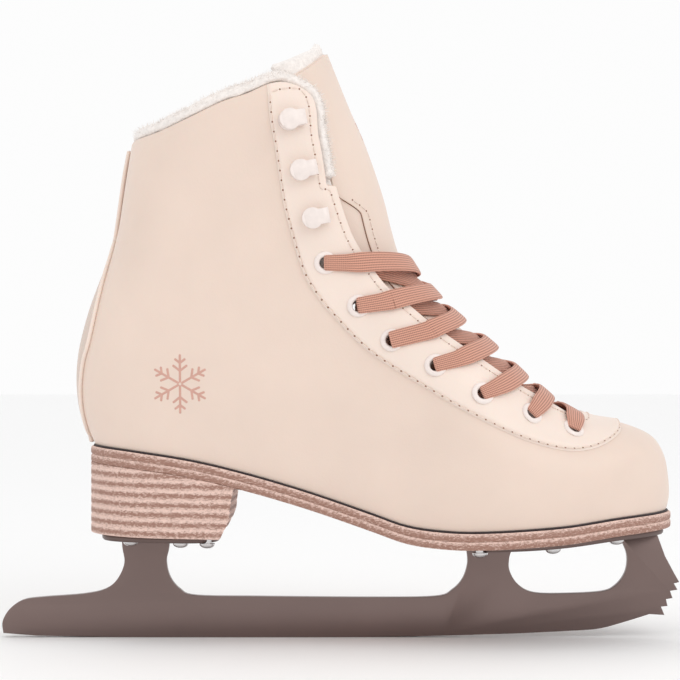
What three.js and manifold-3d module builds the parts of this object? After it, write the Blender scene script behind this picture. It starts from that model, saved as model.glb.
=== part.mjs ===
// A laced figure skate: leather boot on a stacked heel, screwed to a steel blade.
// Millimetres, +X toe, +Z up, the outer side of the right foot at -Y.
// The origin is the middle of the flat on which the blade stands.
import * as THREE from 'three';
import { mergeVertices } from 'three/addons/utils/BufferGeometryUtils.js';
import Module from 'manifold-3d';

const wasm = await Module();
wasm.setup();

// ---- driving dimensions ----
const SOLE_LENGTH = 256; // outsole, heel back to toe tip
const BOOT_HEIGHT = 176; // collar top above the sole at the hooks
const BALL_WIDTH = 93; // upper at the ball of the foot
const WAIST_WIDTH = 67; // upper at the waist
const HEEL_WIDTH = 64; // upper at the heel
const ANKLE_WIDTH = 71; // shaft at the ankle
const COLLAR_WIDTH = 81; // shaft at the top
const BLADE_HEIGHT = 40; // underside of the sole plate above the ice, at the ball
const BLADE_THICKNESS = 4;
const PLATE_THICKNESS = 2.4;
const SOLE_PLATE_WIDTH = 64;
const HEEL_PLATE_WIDTH = 48;
const OUTSOLE_THICKNESS = 3.3; // each of the two plies
const WELT_MARGIN = 2.3; // how far the outsole stands out past the upper
const RAND_THICKNESS = 1;
const LIFT_THICKNESS = 4.15;
const UPPER_THICKNESS = 1.8;
const OVERLAY_THICKNESS = 1.2; // facing and backstay
const STIFFENER_THICKNESS = 1;
const LINING_THICKNESS = 2.6;
const BOARD_THICKNESS = 2.4; // insole board
const FOOTBED_THICKNESS = 4;
const TONGUE_THICKNESS = 4.5;
const TONGUE_PANEL_THICKNESS = 0.9;
const TONGUE_HALF_WIDTH = 23.5;
const TONGUE_DEPTH = 6.4; // tongue's face under the line of the skin
const LACE_WIDTH = 8;
const LACE_THICKNESS = 1.2;
const EYELET_BORE = 5;
const EYELET_FLANGE = 9.8;
const EYELET_WALL = 0.5;
const HOOK_DISC = 9;
const HOOK_RIVET = 3.2;
const SCREW_HEAD = 6.8;
const SCREW_SHANK = 4;
const SCREW_LENGTH = 9;
const GAP = 0.3; // between pieces that lie on each other

// ---- helpers ----
const DESIGN_LENGTH = 256;
const DESIGN_HEIGHT = 176;
const DESIGN_BLADE = 40;
const lengthRatio = SOLE_LENGTH / DESIGN_LENGTH;
const heightRatio = BOOT_HEIGHT / DESIGN_HEIGHT;
const clamp = (t) => Math.min(1, Math.max(0, t));
const mix = (a, b, t) => a + (b - a) * t;
const smooth = (a, b, t) => {
  const s = clamp((t - a) / (b - a));
  return s * s * (3 - 2 * s);
};

// A smooth y(x) through a few stations.
function stations(points) {
  const curve = new THREE.SplineCurve(points.map(([x, y]) => new THREE.Vector2(x, y)));
  const samples = curve.getPoints(160);
  return (x) => {
    if (x <= samples[0].x) return samples[0].y;
    for (let i = 1; i < samples.length; i += 1) {
      const a = samples[i - 1];
      const b = samples[i];
      if (x <= b.x) return mix(a.y, b.y, (x - a.x) / (b.x - a.x));
    }
    return samples[samples.length - 1].y;
  };
}

// Outsole's top, along the foot.
const soleStations = stations([[-66, 85.2], [-45, 83.3], [-20, 79.5], [4, 73.8], [30, 66.2],
  [57, 57.2], [73, 51.9], [89, 49.9], [106, 49.8], [138, 51.6], [165, 54.6], [192, 56.2]]);
const soleTop = (x) => soleStations(x / lengthRatio) + BLADE_HEIGHT - DESIGN_BLADE;

// A point of the upper's side view, carried along when the length or height changes.
function up(x, z) {
  const base = soleStations(x);
  return [x * lengthRatio, base + (z - base) * heightRatio + BLADE_HEIGHT - DESIGN_BLADE];
}
const outline = (points) => points.map(([x, z]) => up(x, z));

// Ends of the skin's level lines: front x, front z, back x, back z, from the sole to the top.
const LEVELS = [
  [188.6, 54, -63.2, 83.5], [190.6, 62, -64.6, 87], [190.3, 71.5, -66.6, 91.5],
  [188.2, 81.5, -68.6, 96.5], [182.5, 89.6, -70, 101.5], [170, 94.9, -70.8, 107],
  [154, 98, -71.2, 113], [141, 105.6, -71, 120], [128, 117, -70, 128],
  [113, 131.5, -67.9, 137], [96.5, 145.3, -64.9, 147], [84.5, 158, -61, 157.5],
  [76.5, 169.5, -57, 168], [72.5, 182, -53.9, 180], [68.5, 197.5, -51.6, 194.5],
  [61.5, 218, -48.6, 213.5], [53, 238, -45.4, 231], [44, 260.5, -41.5, 250],
].map(([fx, fz, bx, bz]) => [...up(fx, fz), ...up(bx, bz)]);
const LEVEL_COUNT = LEVELS.length - 1;
const frontLine = new THREE.SplineCurve(LEVELS.map((l) => new THREE.Vector2(l[0], l[1])));
const backLine = new THREE.SplineCurve(LEVELS.map((l) => new THREE.Vector2(l[2], l[3])));

// Profile as straight pieces, run on past both ends.
function profile(curve) {
  const points = curve.getPoints(LEVEL_COUNT * 5);
  const first = points[0].clone();
  const last = points[points.length - 1].clone();
  const rise = last.clone().sub(points[points.length - 2]).normalize();
  points.unshift(new THREE.Vector2(first.x, first.y - 60));
  points.push(last.addScaledVector(rise, 80));
  return points;
}
const frontProfile = profile(frontLine);
const backProfile = profile(backLine);

// Distance to a profile that stays smooth where two walls are equally near.
function softDistance(points, x, z) {
  let sum = 0;
  for (let i = 1; i < points.length; i += 1) {
    const a = points[i - 1];
    const b = points[i];
    const length = Math.hypot(b.x - a.x, b.y - a.y);
    const ux = (b.x - a.x) / length;
    const uz = (b.y - a.y) / length;
    const s1 = (a.x - x) * ux + (a.y - z) * uz;
    const s2 = s1 + length;
    const h = (x - a.x) * uz - (z - a.y) * ux;
    const h2 = h * h + 1e-6;
    sum += (s2 / Math.sqrt(h2 + s2 * s2) - s1 / Math.sqrt(h2 + s1 * s1)) / h2;
  }
  return Math.sqrt(2 / sum);
}

const footHalfWidth = stations([[-72, HEEL_WIDTH / 2], [-20, HEEL_WIDTH / 2 + 0.5],
  [35, WAIST_WIDTH / 2], [75, BALL_WIDTH / 2 - 6], [108, BALL_WIDTH / 2],
  [140, BALL_WIDTH / 2 - 1], [192, BALL_WIDTH / 2 - 4]]);
const TOE_PLAN_RADIUS = 55; // how far back from the tip the toe reaches its full width
const VAMP_TOP_RADIUS = 28; // how far below the vamp's top it reaches its full width
const SHAFT_RADIUS = 44;
const HEEL_RADIUS = 34;
const TOE_SHIFT = 4; // the toe's tip leans to the inner side
const round = (t) => Math.sqrt(clamp(t) * (2 - clamp(t)));

// The skin's half width at a point of the side view.
function halfWidth(x, z) {
  const designX = x / lengthRatio;
  const rise = (z - soleTop(x)) / heightRatio;
  const d = softDistance(frontProfile, x, z);
  const dx = softDistance(frontProfile, x + 0.5, z) - d;
  const dz = softDistance(frontProfile, x, z + 0.5) - d;
  const lean = (dx * dx) / (dx * dx + dz * dz + 1e-9);
  const planRadius = mix(TOE_PLAN_RADIUS, SHAFT_RADIUS, smooth(30, 80, rise));
  const frontRadius = mix(VAMP_TOP_RADIUS, planRadius, lean);
  const backRadius = mix(HEEL_RADIUS, SHAFT_RADIUS - 4, smooth(40, 110, rise));
  const shaft = mix(ANKLE_WIDTH / 2, COLLAR_WIDTH / 2, smooth(85, 165, rise));
  const full = mix(footHalfWidth(designX), shaft, smooth(10, 60, rise) * smooth(95, 40, designX));
  const tuck = 1 - 0.1 * Math.exp(-Math.max(0, rise) / 8);
  return full * tuck * round(d / frontRadius) * round(softDistance(backProfile, x, z) / backRadius);
}
const middle = (x) => {
  const designX = x / lengthRatio;
  return TOE_SHIFT * smooth(105, 192, designX) - 1.5 * Math.exp(-(((designX - 105) / 35) ** 2));
};

// A point of the skin: level 0 at the sole to 1 at the top; turn 0 back, PI front.
function skinPoint(level, turn) {
  const f = frontLine.getPoint(clamp(level));
  const b = backLine.getPoint(clamp(level));
  const t = (1 - Math.cos(turn)) / 2;
  const x = mix(b.x, f.x, t);
  const base0 = LEVELS[0];
  const t0 = clamp((x - base0[2]) / (base0[0] - base0[2]));
  const sag = (1 - clamp(level / 0.55)) ** 2;
  const z = mix(b.y, f.y, t) + sag * (soleTop(x) - mix(base0[3], base0[1], t0));
  const side = Math.sin(turn);
  const half = Math.abs(side) < 1e-6 ? 0 : halfWidth(x, z);
  return new THREE.Vector3(x, middle(x) - Math.sign(side) * half, z);
}

function skinFrame(level, turn) {
  const step = 0.012;
  const low = Math.max(0, level - step);
  const high = Math.min(1, level + step);
  const rise = skinPoint(high, turn).sub(skinPoint(low, turn));
  const around = skinPoint(level, turn + 0.05).sub(skinPoint(level, turn - 0.05));
  return { point: skinPoint(level, turn), normal: around.cross(rise).normalize() };
}
const AROUND = 28;
const RINGS = [0, 1, 3, 4, 5, 6, 7, 8, 9, 10, 11, 12, 14, 17];
const skinGrid = RINGS.map((j) => Array.from({ length: AROUND }, (_, i) => (
  skinFrame(j / LEVEL_COUNT, (i / AROUND) * 2 * Math.PI))));

function toSolid(geometry) {
  const bare = geometry.clone();
  bare.deleteAttribute('normal');
  bare.deleteAttribute('uv');
  const merged = mergeVertices(bare, 1e-4);
  return new wasm.Manifold(new wasm.Mesh({
    numProp: 3,
    vertProperties: new Float32Array(merged.attributes.position.array),
    triVerts: new Uint32Array(merged.index.array),
  }));
}

// Solid between closed rings of points, capped at both ends.
function loft(rings) {
  const positions = [];
  const index = [];
  const n = rings[0].length;
  rings.flat().forEach((p) => positions.push(p.x, p.y, p.z));
  for (let j = 0; j + 1 < rings.length; j += 1) {
    for (let i = 0; i < n; i += 1) {
      const a = j * n + i;
      const b = j * n + ((i + 1) % n);
      index.push(a, b, a + n, b, b + n, a + n);
    }
  }
  [0, rings.length - 1].forEach((j) => {
    const centre = new THREE.Vector3();
    rings[j].forEach((p) => centre.addScaledVector(p, 1 / n));
    const c = positions.length / 3;
    positions.push(centre.x, centre.y, centre.z);
    for (let i = 0; i < n; i += 1) {
      const a = j * n + i;
      const b = j * n + ((i + 1) % n);
      if (j === 0) index.push(c, b, a);
      else index.push(c, a, b);
    }
  });
  const geometry = new THREE.BufferGeometry();
  geometry.setAttribute('position', new THREE.Float32BufferAttribute(positions, 3));
  geometry.setIndex(index);
  return geometry;
}

// The whole skin as a solid, moved out (or in, when negative) along its normals.
const skinSolids = new Map();
function skin(offset) {
  if (!skinSolids.has(offset)) {
    const rings = skinGrid.map((ring) => ring.map(({ point, normal }) => (
      point.clone().addScaledVector(normal, offset))));
    const bottom = rings[0].map((p) => new THREE.Vector3(p.x, p.y, p.z - 14));
    skinSolids.set(offset, toSolid(loft([bottom, ...rings])));
  }
  return skinSolids.get(offset);
}
const layer = (outer, inner) => skin(outer).subtract(skin(inner));

// Outline in the side view, run through the whole width.
function sidePrism(points, halfDepth = 80) {
  const shape = new THREE.Shape(points.map(([x, z]) => new THREE.Vector2(x, z)));
  const geometry = new THREE.ExtrudeGeometry(shape, { depth: 2 * halfDepth, bevelEnabled: false });
  geometry.rotateX(Math.PI / 2).translate(0, halfDepth, 0);
  return toSolid(geometry);
}

// Outline in plan, run through the whole height.
function planPrism(points, low = -20, high = 320) {
  const shape = new THREE.Shape(points.map(([x, y]) => new THREE.Vector2(x, y)));
  const geometry = new THREE.ExtrudeGeometry(shape, { depth: high - low, bevelEnabled: false });
  return toSolid(geometry.translate(0, 0, low));
}

function splinePoints(points, count) {
  const curve = new THREE.SplineCurve(points.map(([x, z]) => new THREE.Vector2(x, z)));
  return curve.getPoints(count).map((p) => [p.x, p.y]);
}

// Everything between two heights that follow the top of the sole.
const SOLE_STATIONS = [-90, -62, -45, -28, -12, 4, 17, 30, 44, 57, 66, 74, 83, 95, 110, 124, 138,
  152, 166, 180, 205].map((x) => x * lengthRatio);
function soleBand(lowOffset, highOffset) {
  const line = (offset) => SOLE_STATIONS.map((x) => [x, soleTop(x) + offset]);
  return sidePrism([...line(lowOffset), ...line(highOffset).reverse()]);
}

const root = new THREE.Group();
const finishes = {
  leather: { color: 0xe6d0c0, roughness: 0.42, metalness: 0 },
  facing: { color: 0xeedbd0, roughness: 0.4, metalness: 0 },
  fleece: { color: 0xf1e7e0, roughness: 0.95, metalness: 0 },
  lace: { color: 0xc98e78, roughness: 0.85, metalness: 0 },
  stack: { color: 0xa87c6e, roughness: 0.6, metalness: 0 },
  rubber: { color: 0x3a3030, roughness: 0.7, metalness: 0 },
  board: { color: 0xb99a78, roughness: 0.9, metalness: 0 },
  steel: { color: 0x8f8783, roughness: 0.25, metalness: 1 },
  enamel: { color: 0xf0e2da, roughness: 0.3, metalness: 0.2 },
};
function add(name, solid, finish) {
  const mesh = solid.getMesh();
  const geometry = new THREE.BufferGeometry();
  geometry.setAttribute('position', new THREE.BufferAttribute(mesh.vertProperties, 3));
  geometry.setIndex(new THREE.BufferAttribute(mesh.triVerts, 1));
  geometry.computeVertexNormals();
  const node = new THREE.Mesh(geometry, new THREE.MeshStandardMaterial(finishes[finish]));
  node.name = name;
  root.add(node);
}
const moved = (solid, matrix) => solid.transform([...matrix.elements]);

// ---- side view of the upper ----
const THROAT_EDGE = splinePoints(outline([[41.8, 197.2], [46.5, 182.4], [51.3, 171.8],
  [61.8, 156.5], [70.2, 148.9], [84.8, 136.6], [100.8, 125.2], [120.7, 111.7], [137, 102.6],
  [146, 97.6], [151, 98.6], [152.5, 108]]), 22);
const COLLAR_EDGE = splinePoints(outline([[-56, 215], [-47, 218.1], [-34.2, 220.6],
  [-19.7, 226.1], [-5.5, 232.4], [4.8, 235.7], [13.7, 239.7], [21, 240.9], [27.3, 239],
  [31.6, 235.4], [33.4, 229.8], [34.3, 219.3], [35.9, 210.8], [38, 197.2]]), 20);
const FACING_EDGE = splinePoints(outline([[12.5, 252], [13.6, 238.9], [14.6, 225.9],
  [16.7, 213.8], [19.4, 195.5], [21.7, 183.9], [28.1, 162], [33.1, 152.5], [40.3, 143.2],
  [56.6, 126.9], [77, 113.7], [99.1, 100.7], [121.7, 89.8], [140, 84.8], [153.2, 85.5],
  [164, 90.2], [168, 95], [169, 104]]), 24);
const far = up; // a corner well outside the boot

// Everything in front of and above the leather's free edge.
const openTop = sidePrism([...COLLAR_EDGE, ...THROAT_EDGE, far(152.5, 200), far(120, 320), far(-56, 320)]);
const facingRegion = sidePrism([...FACING_EDGE, far(169, 140), far(110, 320), far(12.5, 320)]);
const aboveSole = (rise) => soleBand(rise, 320);
const half = (side) => planPrism(side < 0
  ? [[-120, -90], [240, -90], [240, -GAP / 2], [-120, -GAP / 2]]
  : [[-120, GAP / 2], [240, GAP / 2], [240, 90], [-120, 90]]);

// Position and outward normal on the skin for a point of the side view.
function onSkin(x, z, side) {
  const e = 0.5;
  const h = halfWidth(x, z);
  const hx = (halfWidth(x + e, z) - halfWidth(x - e, z)) / (2 * e);
  const hz = (halfWidth(x, z + e) - halfWidth(x, z - e)) / (2 * e);
  const mx = (middle(x + e) - middle(x - e)) / (2 * e);
  const normal = new THREE.Vector3(-hx - side * mx, side, -hz).normalize();
  return { point: new THREE.Vector3(x, middle(x) + side * h, z), normal };
}

// Turns a piece made round +Z, with +X towards the throat, to its place on the skin.
function seat(x, z, side, forward) {
  const { point, normal } = onSkin(x, z, side);
  const ahead = forward.clone().addScaledVector(normal, -forward.dot(normal)).normalize();
  const across = normal.clone().cross(ahead);
  return new THREE.Matrix4().makeBasis(ahead, across, normal).setPosition(point);
}

const EYELETS = outline([[38.2, 164.7], [52.2, 146.3], [66.5, 131.6], [85.1, 120.9],
  [104.4, 108.9], [125.3, 99.9], [144.1, 92.8]]);
const HOOKS = outline([[22.4, 225], [27.4, 204], [32.6, 183.8]]);
const toThroat = new THREE.Vector3(0.75, 0, 0.65);
const overlayTop = GAP + OVERLAY_THICKNESS;
const eyeletOuter = EYELET_BORE / 2 + EYELET_WALL;

function cylinderCut(radius, from, to, segments = 10) {
  return new THREE.CylinderGeometry(radius, radius, to - from, segments).rotateX(Math.PI / 2)
    .translate(0, 0, (from + to) / 2);
}
const eyeletCut = toSolid(cylinderCut(eyeletOuter + GAP, -5, 5)).add(
  toSolid(cylinderCut(EYELET_FLANGE / 2 + GAP, overlayTop, 6)),
);
const rivetBore = toSolid(cylinderCut(HOOK_RIVET / 2 + GAP, -12, 8, 8));
const rivetCut = rivetBore.add(toSolid(cylinderCut(HOOK_DISC / 2 + GAP, overlayTop, 6)));

function pierce(solid, side) {
  let result = solid;
  EYELETS.forEach(([x, z]) => {
    result = result.subtract(moved(eyeletCut, seat(x, z, side, toThroat)));
  });
  HOOKS.forEach(([x, z]) => {
    result = result.subtract(moved(rivetCut, seat(x, z, side, toThroat)));
  });
  return result;
}

// ---- upper, facings, backstay ----
const UPPER_RISE = 2 * GAP + RAND_THICKNESS;
const shell = layer(0, -UPPER_THICKNESS).intersect(aboveSole(UPPER_RISE)).subtract(openTop);
const overlay = layer(overlayTop, GAP).intersect(aboveSole(UPPER_RISE + 0.4)).subtract(openTop);
const facing = overlay.intersect(facingRegion);
[[-1, 'outer'], [1, 'inner']].forEach(([side, word]) => {
  add(`upper_${word}`, pierce(shell.intersect(half(side)), side), 'leather');
  add(`facing_${word}`, pierce(facing.intersect(half(side)), side), 'facing');
});
const BACKSTAY_EDGE = splinePoints(outline([[-65, 80], [-65.2, 86.2], [-68, 99], [-68.7, 110],
  [-67.2, 122], [-64, 133], [-59, 158], [-54.8, 176.4], [-50.6, 205], [-47.2, 222]]), 18);
const backstayRegion = sidePrism([...BACKSTAY_EDGE, up(-90, 222), up(-90, 80)]);
add('backstay', overlay.intersect(backstayRegion), 'facing');

// ---- stiffeners and lining ----
const stiffenerOuter = -(UPPER_THICKNESS + GAP);
const stiffenerInner = stiffenerOuter - STIFFENER_THICKNESS;
const INNER_RISE = UPPER_RISE + BOARD_THICKNESS + GAP;
const stiffener = layer(stiffenerOuter, stiffenerInner).intersect(aboveSole(INNER_RISE));
const counterRegion = sidePrism([...splinePoints(outline([[8, 60], [6, 84], [-10, 106],
  [-35, 124], [-62, 134]]), 10), up(-90, 136), up(-90, 60)]);
const puffRegion = sidePrism([...splinePoints(outline([[156, 40], [155, 60], [161, 80],
  [172, 100]]), 8), up(220, 100), up(220, 40)]);
add('heel_counter', stiffener.intersect(counterRegion), 'board');
add('toe_puff', stiffener.intersect(puffRegion), 'board');

const liningOuter = stiffenerInner - GAP;
const liningInner = liningOuter - LINING_THICKNESS;
const FLEECE_PROUD = 3.8; // how far the fleece stands past the leather's edge
const fleeceEdge = COLLAR_EDGE.slice(0, -1).map(([x, z]) => (
  x < up(25, 0)[0] ? [x, z + FLEECE_PROUD] : [x + FLEECE_PROUD, z + 0.5]));
const LINING_FRONT = splinePoints(outline([[40, 192], [26, 180], [30, 160], [42, 143],
  [58, 128], [80, 114], [104, 100], [124, 90.5], [142, 85], [160, 92], [164, 110]]), 16);
const liningOpen = sidePrism([...fleeceEdge, ...LINING_FRONT, far(164, 200), far(120, 320), far(-56, 320)]);
const lining = layer(liningOuter, liningInner).intersect(aboveSole(INNER_RISE)).subtract(liningOpen);
const hookCuts = [-1, 1].flatMap((side) => HOOKS.map(([x, z]) => (
  moved(rivetCut, seat(x, z, side, toThroat)))));
add('lining', hookCuts.reduce((solid, cut) => solid.subtract(cut), lining), 'fleece');

// ---- boards under the foot ----
add('insole_board', skin(stiffenerOuter).intersect(
  soleBand(UPPER_RISE, UPPER_RISE + BOARD_THICKNESS),
), 'board');
add('footbed', skin(liningInner - GAP).intersect(
  soleBand(INNER_RISE, INNER_RISE + FOOTBED_THICKNESS),
), 'fleece');

// ---- sole ----
function planOutline(margin) {
  const ring = Array.from({ length: 36 }, (_, i) => skinPoint(0, (i / 36) * 2 * Math.PI));
  return ring.map((p, i) => {
    const a = ring[(i + 35) % 36];
    const b = ring[(i + 1) % 36];
    const length = Math.hypot(b.x - a.x, b.y - a.y);
    return [p.x + (margin * -(b.y - a.y)) / -length, p.y + (margin * (b.x - a.x)) / -length];
  });
}
const weltPlan = planPrism(planOutline(WELT_MARGIN));
const randPlan = planPrism(planOutline(WELT_MARGIN - 1));
const SHANK = { from: -45, to: 62, halfWidth: 7, thickness: 1.2 };
const PLY_LOW = OUTSOLE_THICKNESS + GAP;
const outsoleDepth = PLY_LOW + OUTSOLE_THICKNESS;

// Screws: sole plate then heel plate, mirrored to both sides.
const SOLE_SCREWS = [[105, 24], [136.5, 24], [165, 16]];
const HEEL_SCREWS = [[-47, 14], [-25, 17], [-13.5, 17]];
const heelBottom = (x) => BLADE_HEIGHT + 6.05 - 0.021 * (x + 7.5);
const screwSeats = [];
SOLE_SCREWS.forEach(([x, y]) => [-1, 1].forEach((side) => {
  const place = x * lengthRatio;
  const slope = (soleTop(place + 2) - soleTop(place - 2)) / 4;
  const z = soleTop(place) - outsoleDepth - GAP - PLATE_THICKNESS;
  screwSeats.push({ x: place, y: side * y, z, tilt: -Math.atan(slope), plate: 'sole' });
}));
HEEL_SCREWS.forEach(([x, y]) => [-1, 1].forEach((side) => {
  const place = x * lengthRatio;
  const z = heelBottom(place) - GAP - PLATE_THICKNESS;
  screwSeats.push({ x: place, y: side * y, z, tilt: 0.021, plate: 'heel' });
}));
const screwMatrix = ({ x, y, z, tilt }) => new THREE.Matrix4().makeRotationY(tilt).setPosition(x, y, z);
const screwBore = toSolid(cylinderCut(SCREW_SHANK / 2 + GAP, -4, SCREW_LENGTH + GAP, 8));
const drill = (solid, plate) => screwSeats.filter((s) => s.plate === plate)
  .reduce((rest, place) => rest.subtract(moved(screwBore, screwMatrix(place))), solid);

const shankSlot = (clear) => soleBand(
  -SHANK.thickness - GAP - clear,
  clear ? 1 : -GAP,
).intersect(planPrism([
  [SHANK.from - clear, -SHANK.halfWidth - clear], [SHANK.to + clear, -SHANK.halfWidth - clear],
  [SHANK.to + clear, SHANK.halfWidth + clear], [SHANK.from - clear, SHANK.halfWidth + clear]]));
add('rand', randPlan.intersect(soleBand(GAP, GAP + RAND_THICKNESS)), 'rubber');
add('midsole', drill(weltPlan.intersect(soleBand(-OUTSOLE_THICKNESS, 0)), 'sole')
  .subtract(shankSlot(GAP)), 'stack');
add('outsole', drill(weltPlan.intersect(soleBand(-outsoleDepth, -PLY_LOW)), 'sole'), 'stack');
add('shank', shankSlot(0), 'steel');

// ---- stacked heel ----
const BREAST = splinePoints([[2, 76], [-1.3, 67.1], [-2.6, 60], [-3.2, 54.7], [-5.6, 49.1],
  [-7.5, 45.5]].map(([x, z]) => [x * lengthRatio, z + BLADE_HEIGHT - DESIGN_BLADE]), 8);
const heelBlock = weltPlan.intersect(sidePrism([...BREAST, [-90, BREAST[8][1]], [-90, 90]]));
function heelBand(low, high) {
  const line = (rise) => [[-90, heelBottom(-90) + rise], [20, heelBottom(20) + rise]];
  return sidePrism([...line(low), ...line(high).reverse()]);
}
const underSole = soleBand(-60, -outsoleDepth - GAP);
const LIFTS = [['heel_top_piece', 0, 1], ['heel_lift_lower', 1, 3], ['heel_lift_upper', 3, 5],
  ['heel_wedge', 5, 9]];
LIFTS.forEach(([name, from, to]) => {
  const low = from * LIFT_THICKNESS;
  const band = heelBand(from ? low + GAP : low, to * LIFT_THICKNESS);
  add(name, drill(heelBlock.intersect(band).intersect(underSole), 'heel'), 'stack');
});

// ---- plates ----
const ovalPlan = (from, to, halfWide, narrow) => {
  const points = Array.from({ length: 22 }, (_, i) => {
    const a = (i / 22) * 2 * Math.PI;
    const c = Math.cos(a);
    const s = Math.sin(a);
    const x = (from + to) / 2 + ((to - from) / 2) * Math.sign(c) * Math.abs(c) ** 0.7;
    const t = (x - from) / (to - from);
    return [x, mix(halfWide, halfWide * narrow, t ** 3) * Math.sign(s) * Math.abs(s) ** 0.6];
  });
  return planPrism(points);
};
const plateTop = -outsoleDepth - GAP;
const SOLE_PLATE = [97 * lengthRatio, 187.5 * lengthRatio];
const HEEL_PLATE = [-60.5 * lengthRatio, -8.5 * lengthRatio];
add('sole_plate', drill(ovalPlan(...SOLE_PLATE, SOLE_PLATE_WIDTH / 2, 0.5).intersect(
  soleBand(plateTop - PLATE_THICKNESS, plateTop),
), 'sole'), 'steel');
add('heel_plate', drill(ovalPlan(...HEEL_PLATE, HEEL_PLATE_WIDTH / 2, 1).intersect(
  heelBand(-GAP - PLATE_THICKNESS, -GAP),
), 'heel'), 'steel');

// ---- blade ----
const lift = (points) => points.map(([x, z]) => [x * lengthRatio, z * (BLADE_HEIGHT / DESIGN_BLADE)]);
const TAIL = lift([[-52.2, 52], [-52.2, 41], [-51.2, 33], [-54.5, 25.6], [-60, 21.3], [-70, 19.2],
  [-86.8, 17.9], [-96, 16.6], [-102, 12.6], [-105.2, 7], [-104.8, 1.9]]);
const ROCKER = lift([[-90, 0.75], [-60, 0.2], [-30, 0], [30, 0], [60, 0.2], [80, 0.5],
  [102, 1.1], [124, 1.8], [142.5, 2.7], [158, 3.7], [168.3, 6.2], [181.6, 10.3]]);
const PICKS = lift([[188.2, 9.9], [186.7, 13.6], [189.6, 13.9], [188.9, 16.9], [191.8, 17.4],
  [190.7, 20.6], [194, 21.1], [192.4, 23.9], [194.8, 24.5], [192.6, 28.3], [188.5, 36], [182, 56]]);
const TOE_WINDOW = lift([[165.5, 56], [169.5, 42.3], [171.7, 36], [170.8, 28.8], [166.5, 23],
  [160, 20.3], [142.5, 19.4], [130, 19.9], [123.3, 23.5], [119.6, 29.5], [119.4, 35], [120.8, 40],
  [121.5, 56]]);
const MID_WINDOW = lift([[99.2, 56], [100.3, 40], [100.9, 33], [98.8, 26.2], [94.3, 21.2],
  [87, 18.2], [60, 17.7], [9, 18.1], [-19.4, 18.6], [-26.6, 21.5], [-31, 27], [-32.5, 34],
  [-31.4, 40], [-30.5, 52]]);
const curve = (points, count) => splinePoints(points, count);
const bladeOutline = [...curve(TAIL, 18), ...ROCKER, ...PICKS, ...curve(TOE_WINDOW, 20),
  ...curve(MID_WINDOW, 22)];
const underPlates = sidePrism([[-140, -10], [230, -10],
  ...SOLE_STATIONS.filter((x) => x > SOLE_PLATE[0] - 5).reverse().map((x) => (
    [x, soleTop(x) + plateTop - PLATE_THICKNESS - GAP])),
  [20, heelBottom(20) - 2 * GAP - PLATE_THICKNESS],
  [-140, heelBottom(-140) - 2 * GAP - PLATE_THICKNESS]]);
add('blade', sidePrism(bladeOutline, BLADE_THICKNESS / 2).intersect(underPlates), 'steel');

// ---- screws ----
const headRadius = SCREW_HEAD / 2;
const screwProfile = [[0, -GAP - 2], [headRadius * 0.62, -GAP - 1.6], [headRadius, -GAP - 0.5],
  [headRadius, -GAP], [SCREW_SHANK / 2, -GAP], [SCREW_SHANK / 2, SCREW_LENGTH - 1.5],
  [0, SCREW_LENGTH]].map(([r, z]) => new THREE.Vector2(r, z));
const screw = toSolid(new THREE.LatheGeometry(screwProfile, 8).rotateX(Math.PI / 2));
screwSeats.forEach((place, i) => {
  add(`${place.plate}_screw_${(i % 6) + 1}`, moved(screw, screwMatrix(place)), 'steel');
});

// ---- eyelets ----
const eyeletBack = -UPPER_THICKNESS - GAP;
const flangeRadius = EYELET_FLANGE / 2;
const eyeletProfile = [[EYELET_BORE / 2, eyeletBack - 0.6], [eyeletOuter, eyeletBack - 0.6],
  [eyeletOuter, overlayTop + GAP], [flangeRadius, overlayTop + GAP],
  [flangeRadius - 0.6, overlayTop + GAP + 0.8], [EYELET_BORE / 2, overlayTop + GAP + 0.8],
  [EYELET_BORE / 2, eyeletBack - 0.6]].map(([r, z]) => new THREE.Vector2(r, z));
const eyelet = toSolid(new THREE.LatheGeometry(eyeletProfile, 10).rotateX(Math.PI / 2));
const sides = [[-1, 'outer'], [1, 'inner']];
sides.forEach(([side, word]) => EYELETS.forEach(([x, z], i) => {
  add(`eyelet_${word}_${i + 1}`, moved(eyelet, seat(x, z, side, toThroat)), 'enamel');
}));

// ---- hooks: a leaf riveted down, folded over towards the throat into a round upper leaf ----
const HOOK = { leaf: 0.8, opening: 3, reach: 6.8, neck: 6.6 };
const hookBase = overlayTop + GAP;
const hookTop = hookBase + 2 * HOOK.leaf + HOOK.opening;
const hookProfile = () => {
  const outer = [];
  const inner = [];
  const centre = (hookBase + hookTop) / 2;
  const radius = (hookTop - hookBase) / 2;
  const bend = HOOK.reach - radius;
  for (let i = 0; i <= 4; i += 1) {
    const a = -Math.PI / 2 + (i / 4) * Math.PI;
    outer.push([bend + radius * Math.cos(a), centre + radius * Math.sin(a)]);
    inner.push([bend + (radius - HOOK.leaf) * Math.cos(a), centre + (radius - HOOK.leaf) * Math.sin(a)]);
  }
  const back = -HOOK_DISC / 2;
  return [[back, hookBase], ...outer, [back, hookTop], [back, hookTop - HOOK.leaf],
    ...inner.reverse(), [back, hookBase + HOOK.leaf]];
};
const hookPlan = () => {
  const points = [];
  const half = HOOK.neck / 2;
  const start = Math.asin(half / (HOOK_DISC / 2));
  for (let i = 0; i <= 8; i += 1) {
    const a = start + (i / 8) * (2 * Math.PI - 2 * start);
    points.push([(HOOK_DISC / 2) * Math.cos(a), (HOOK_DISC / 2) * Math.sin(a)]);
  }
  points.push([HOOK.reach + 1, -half], [HOOK.reach + 1, half]);
  return planPrism(points);
};
const rivet = toSolid(cylinderCut(HOOK_RIVET / 2, liningOuter + 1, hookBase + HOOK.leaf / 2, 8));
const hookSolid = sidePrism(hookProfile(), HOOK_DISC).intersect(hookPlan()).add(rivet);
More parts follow.
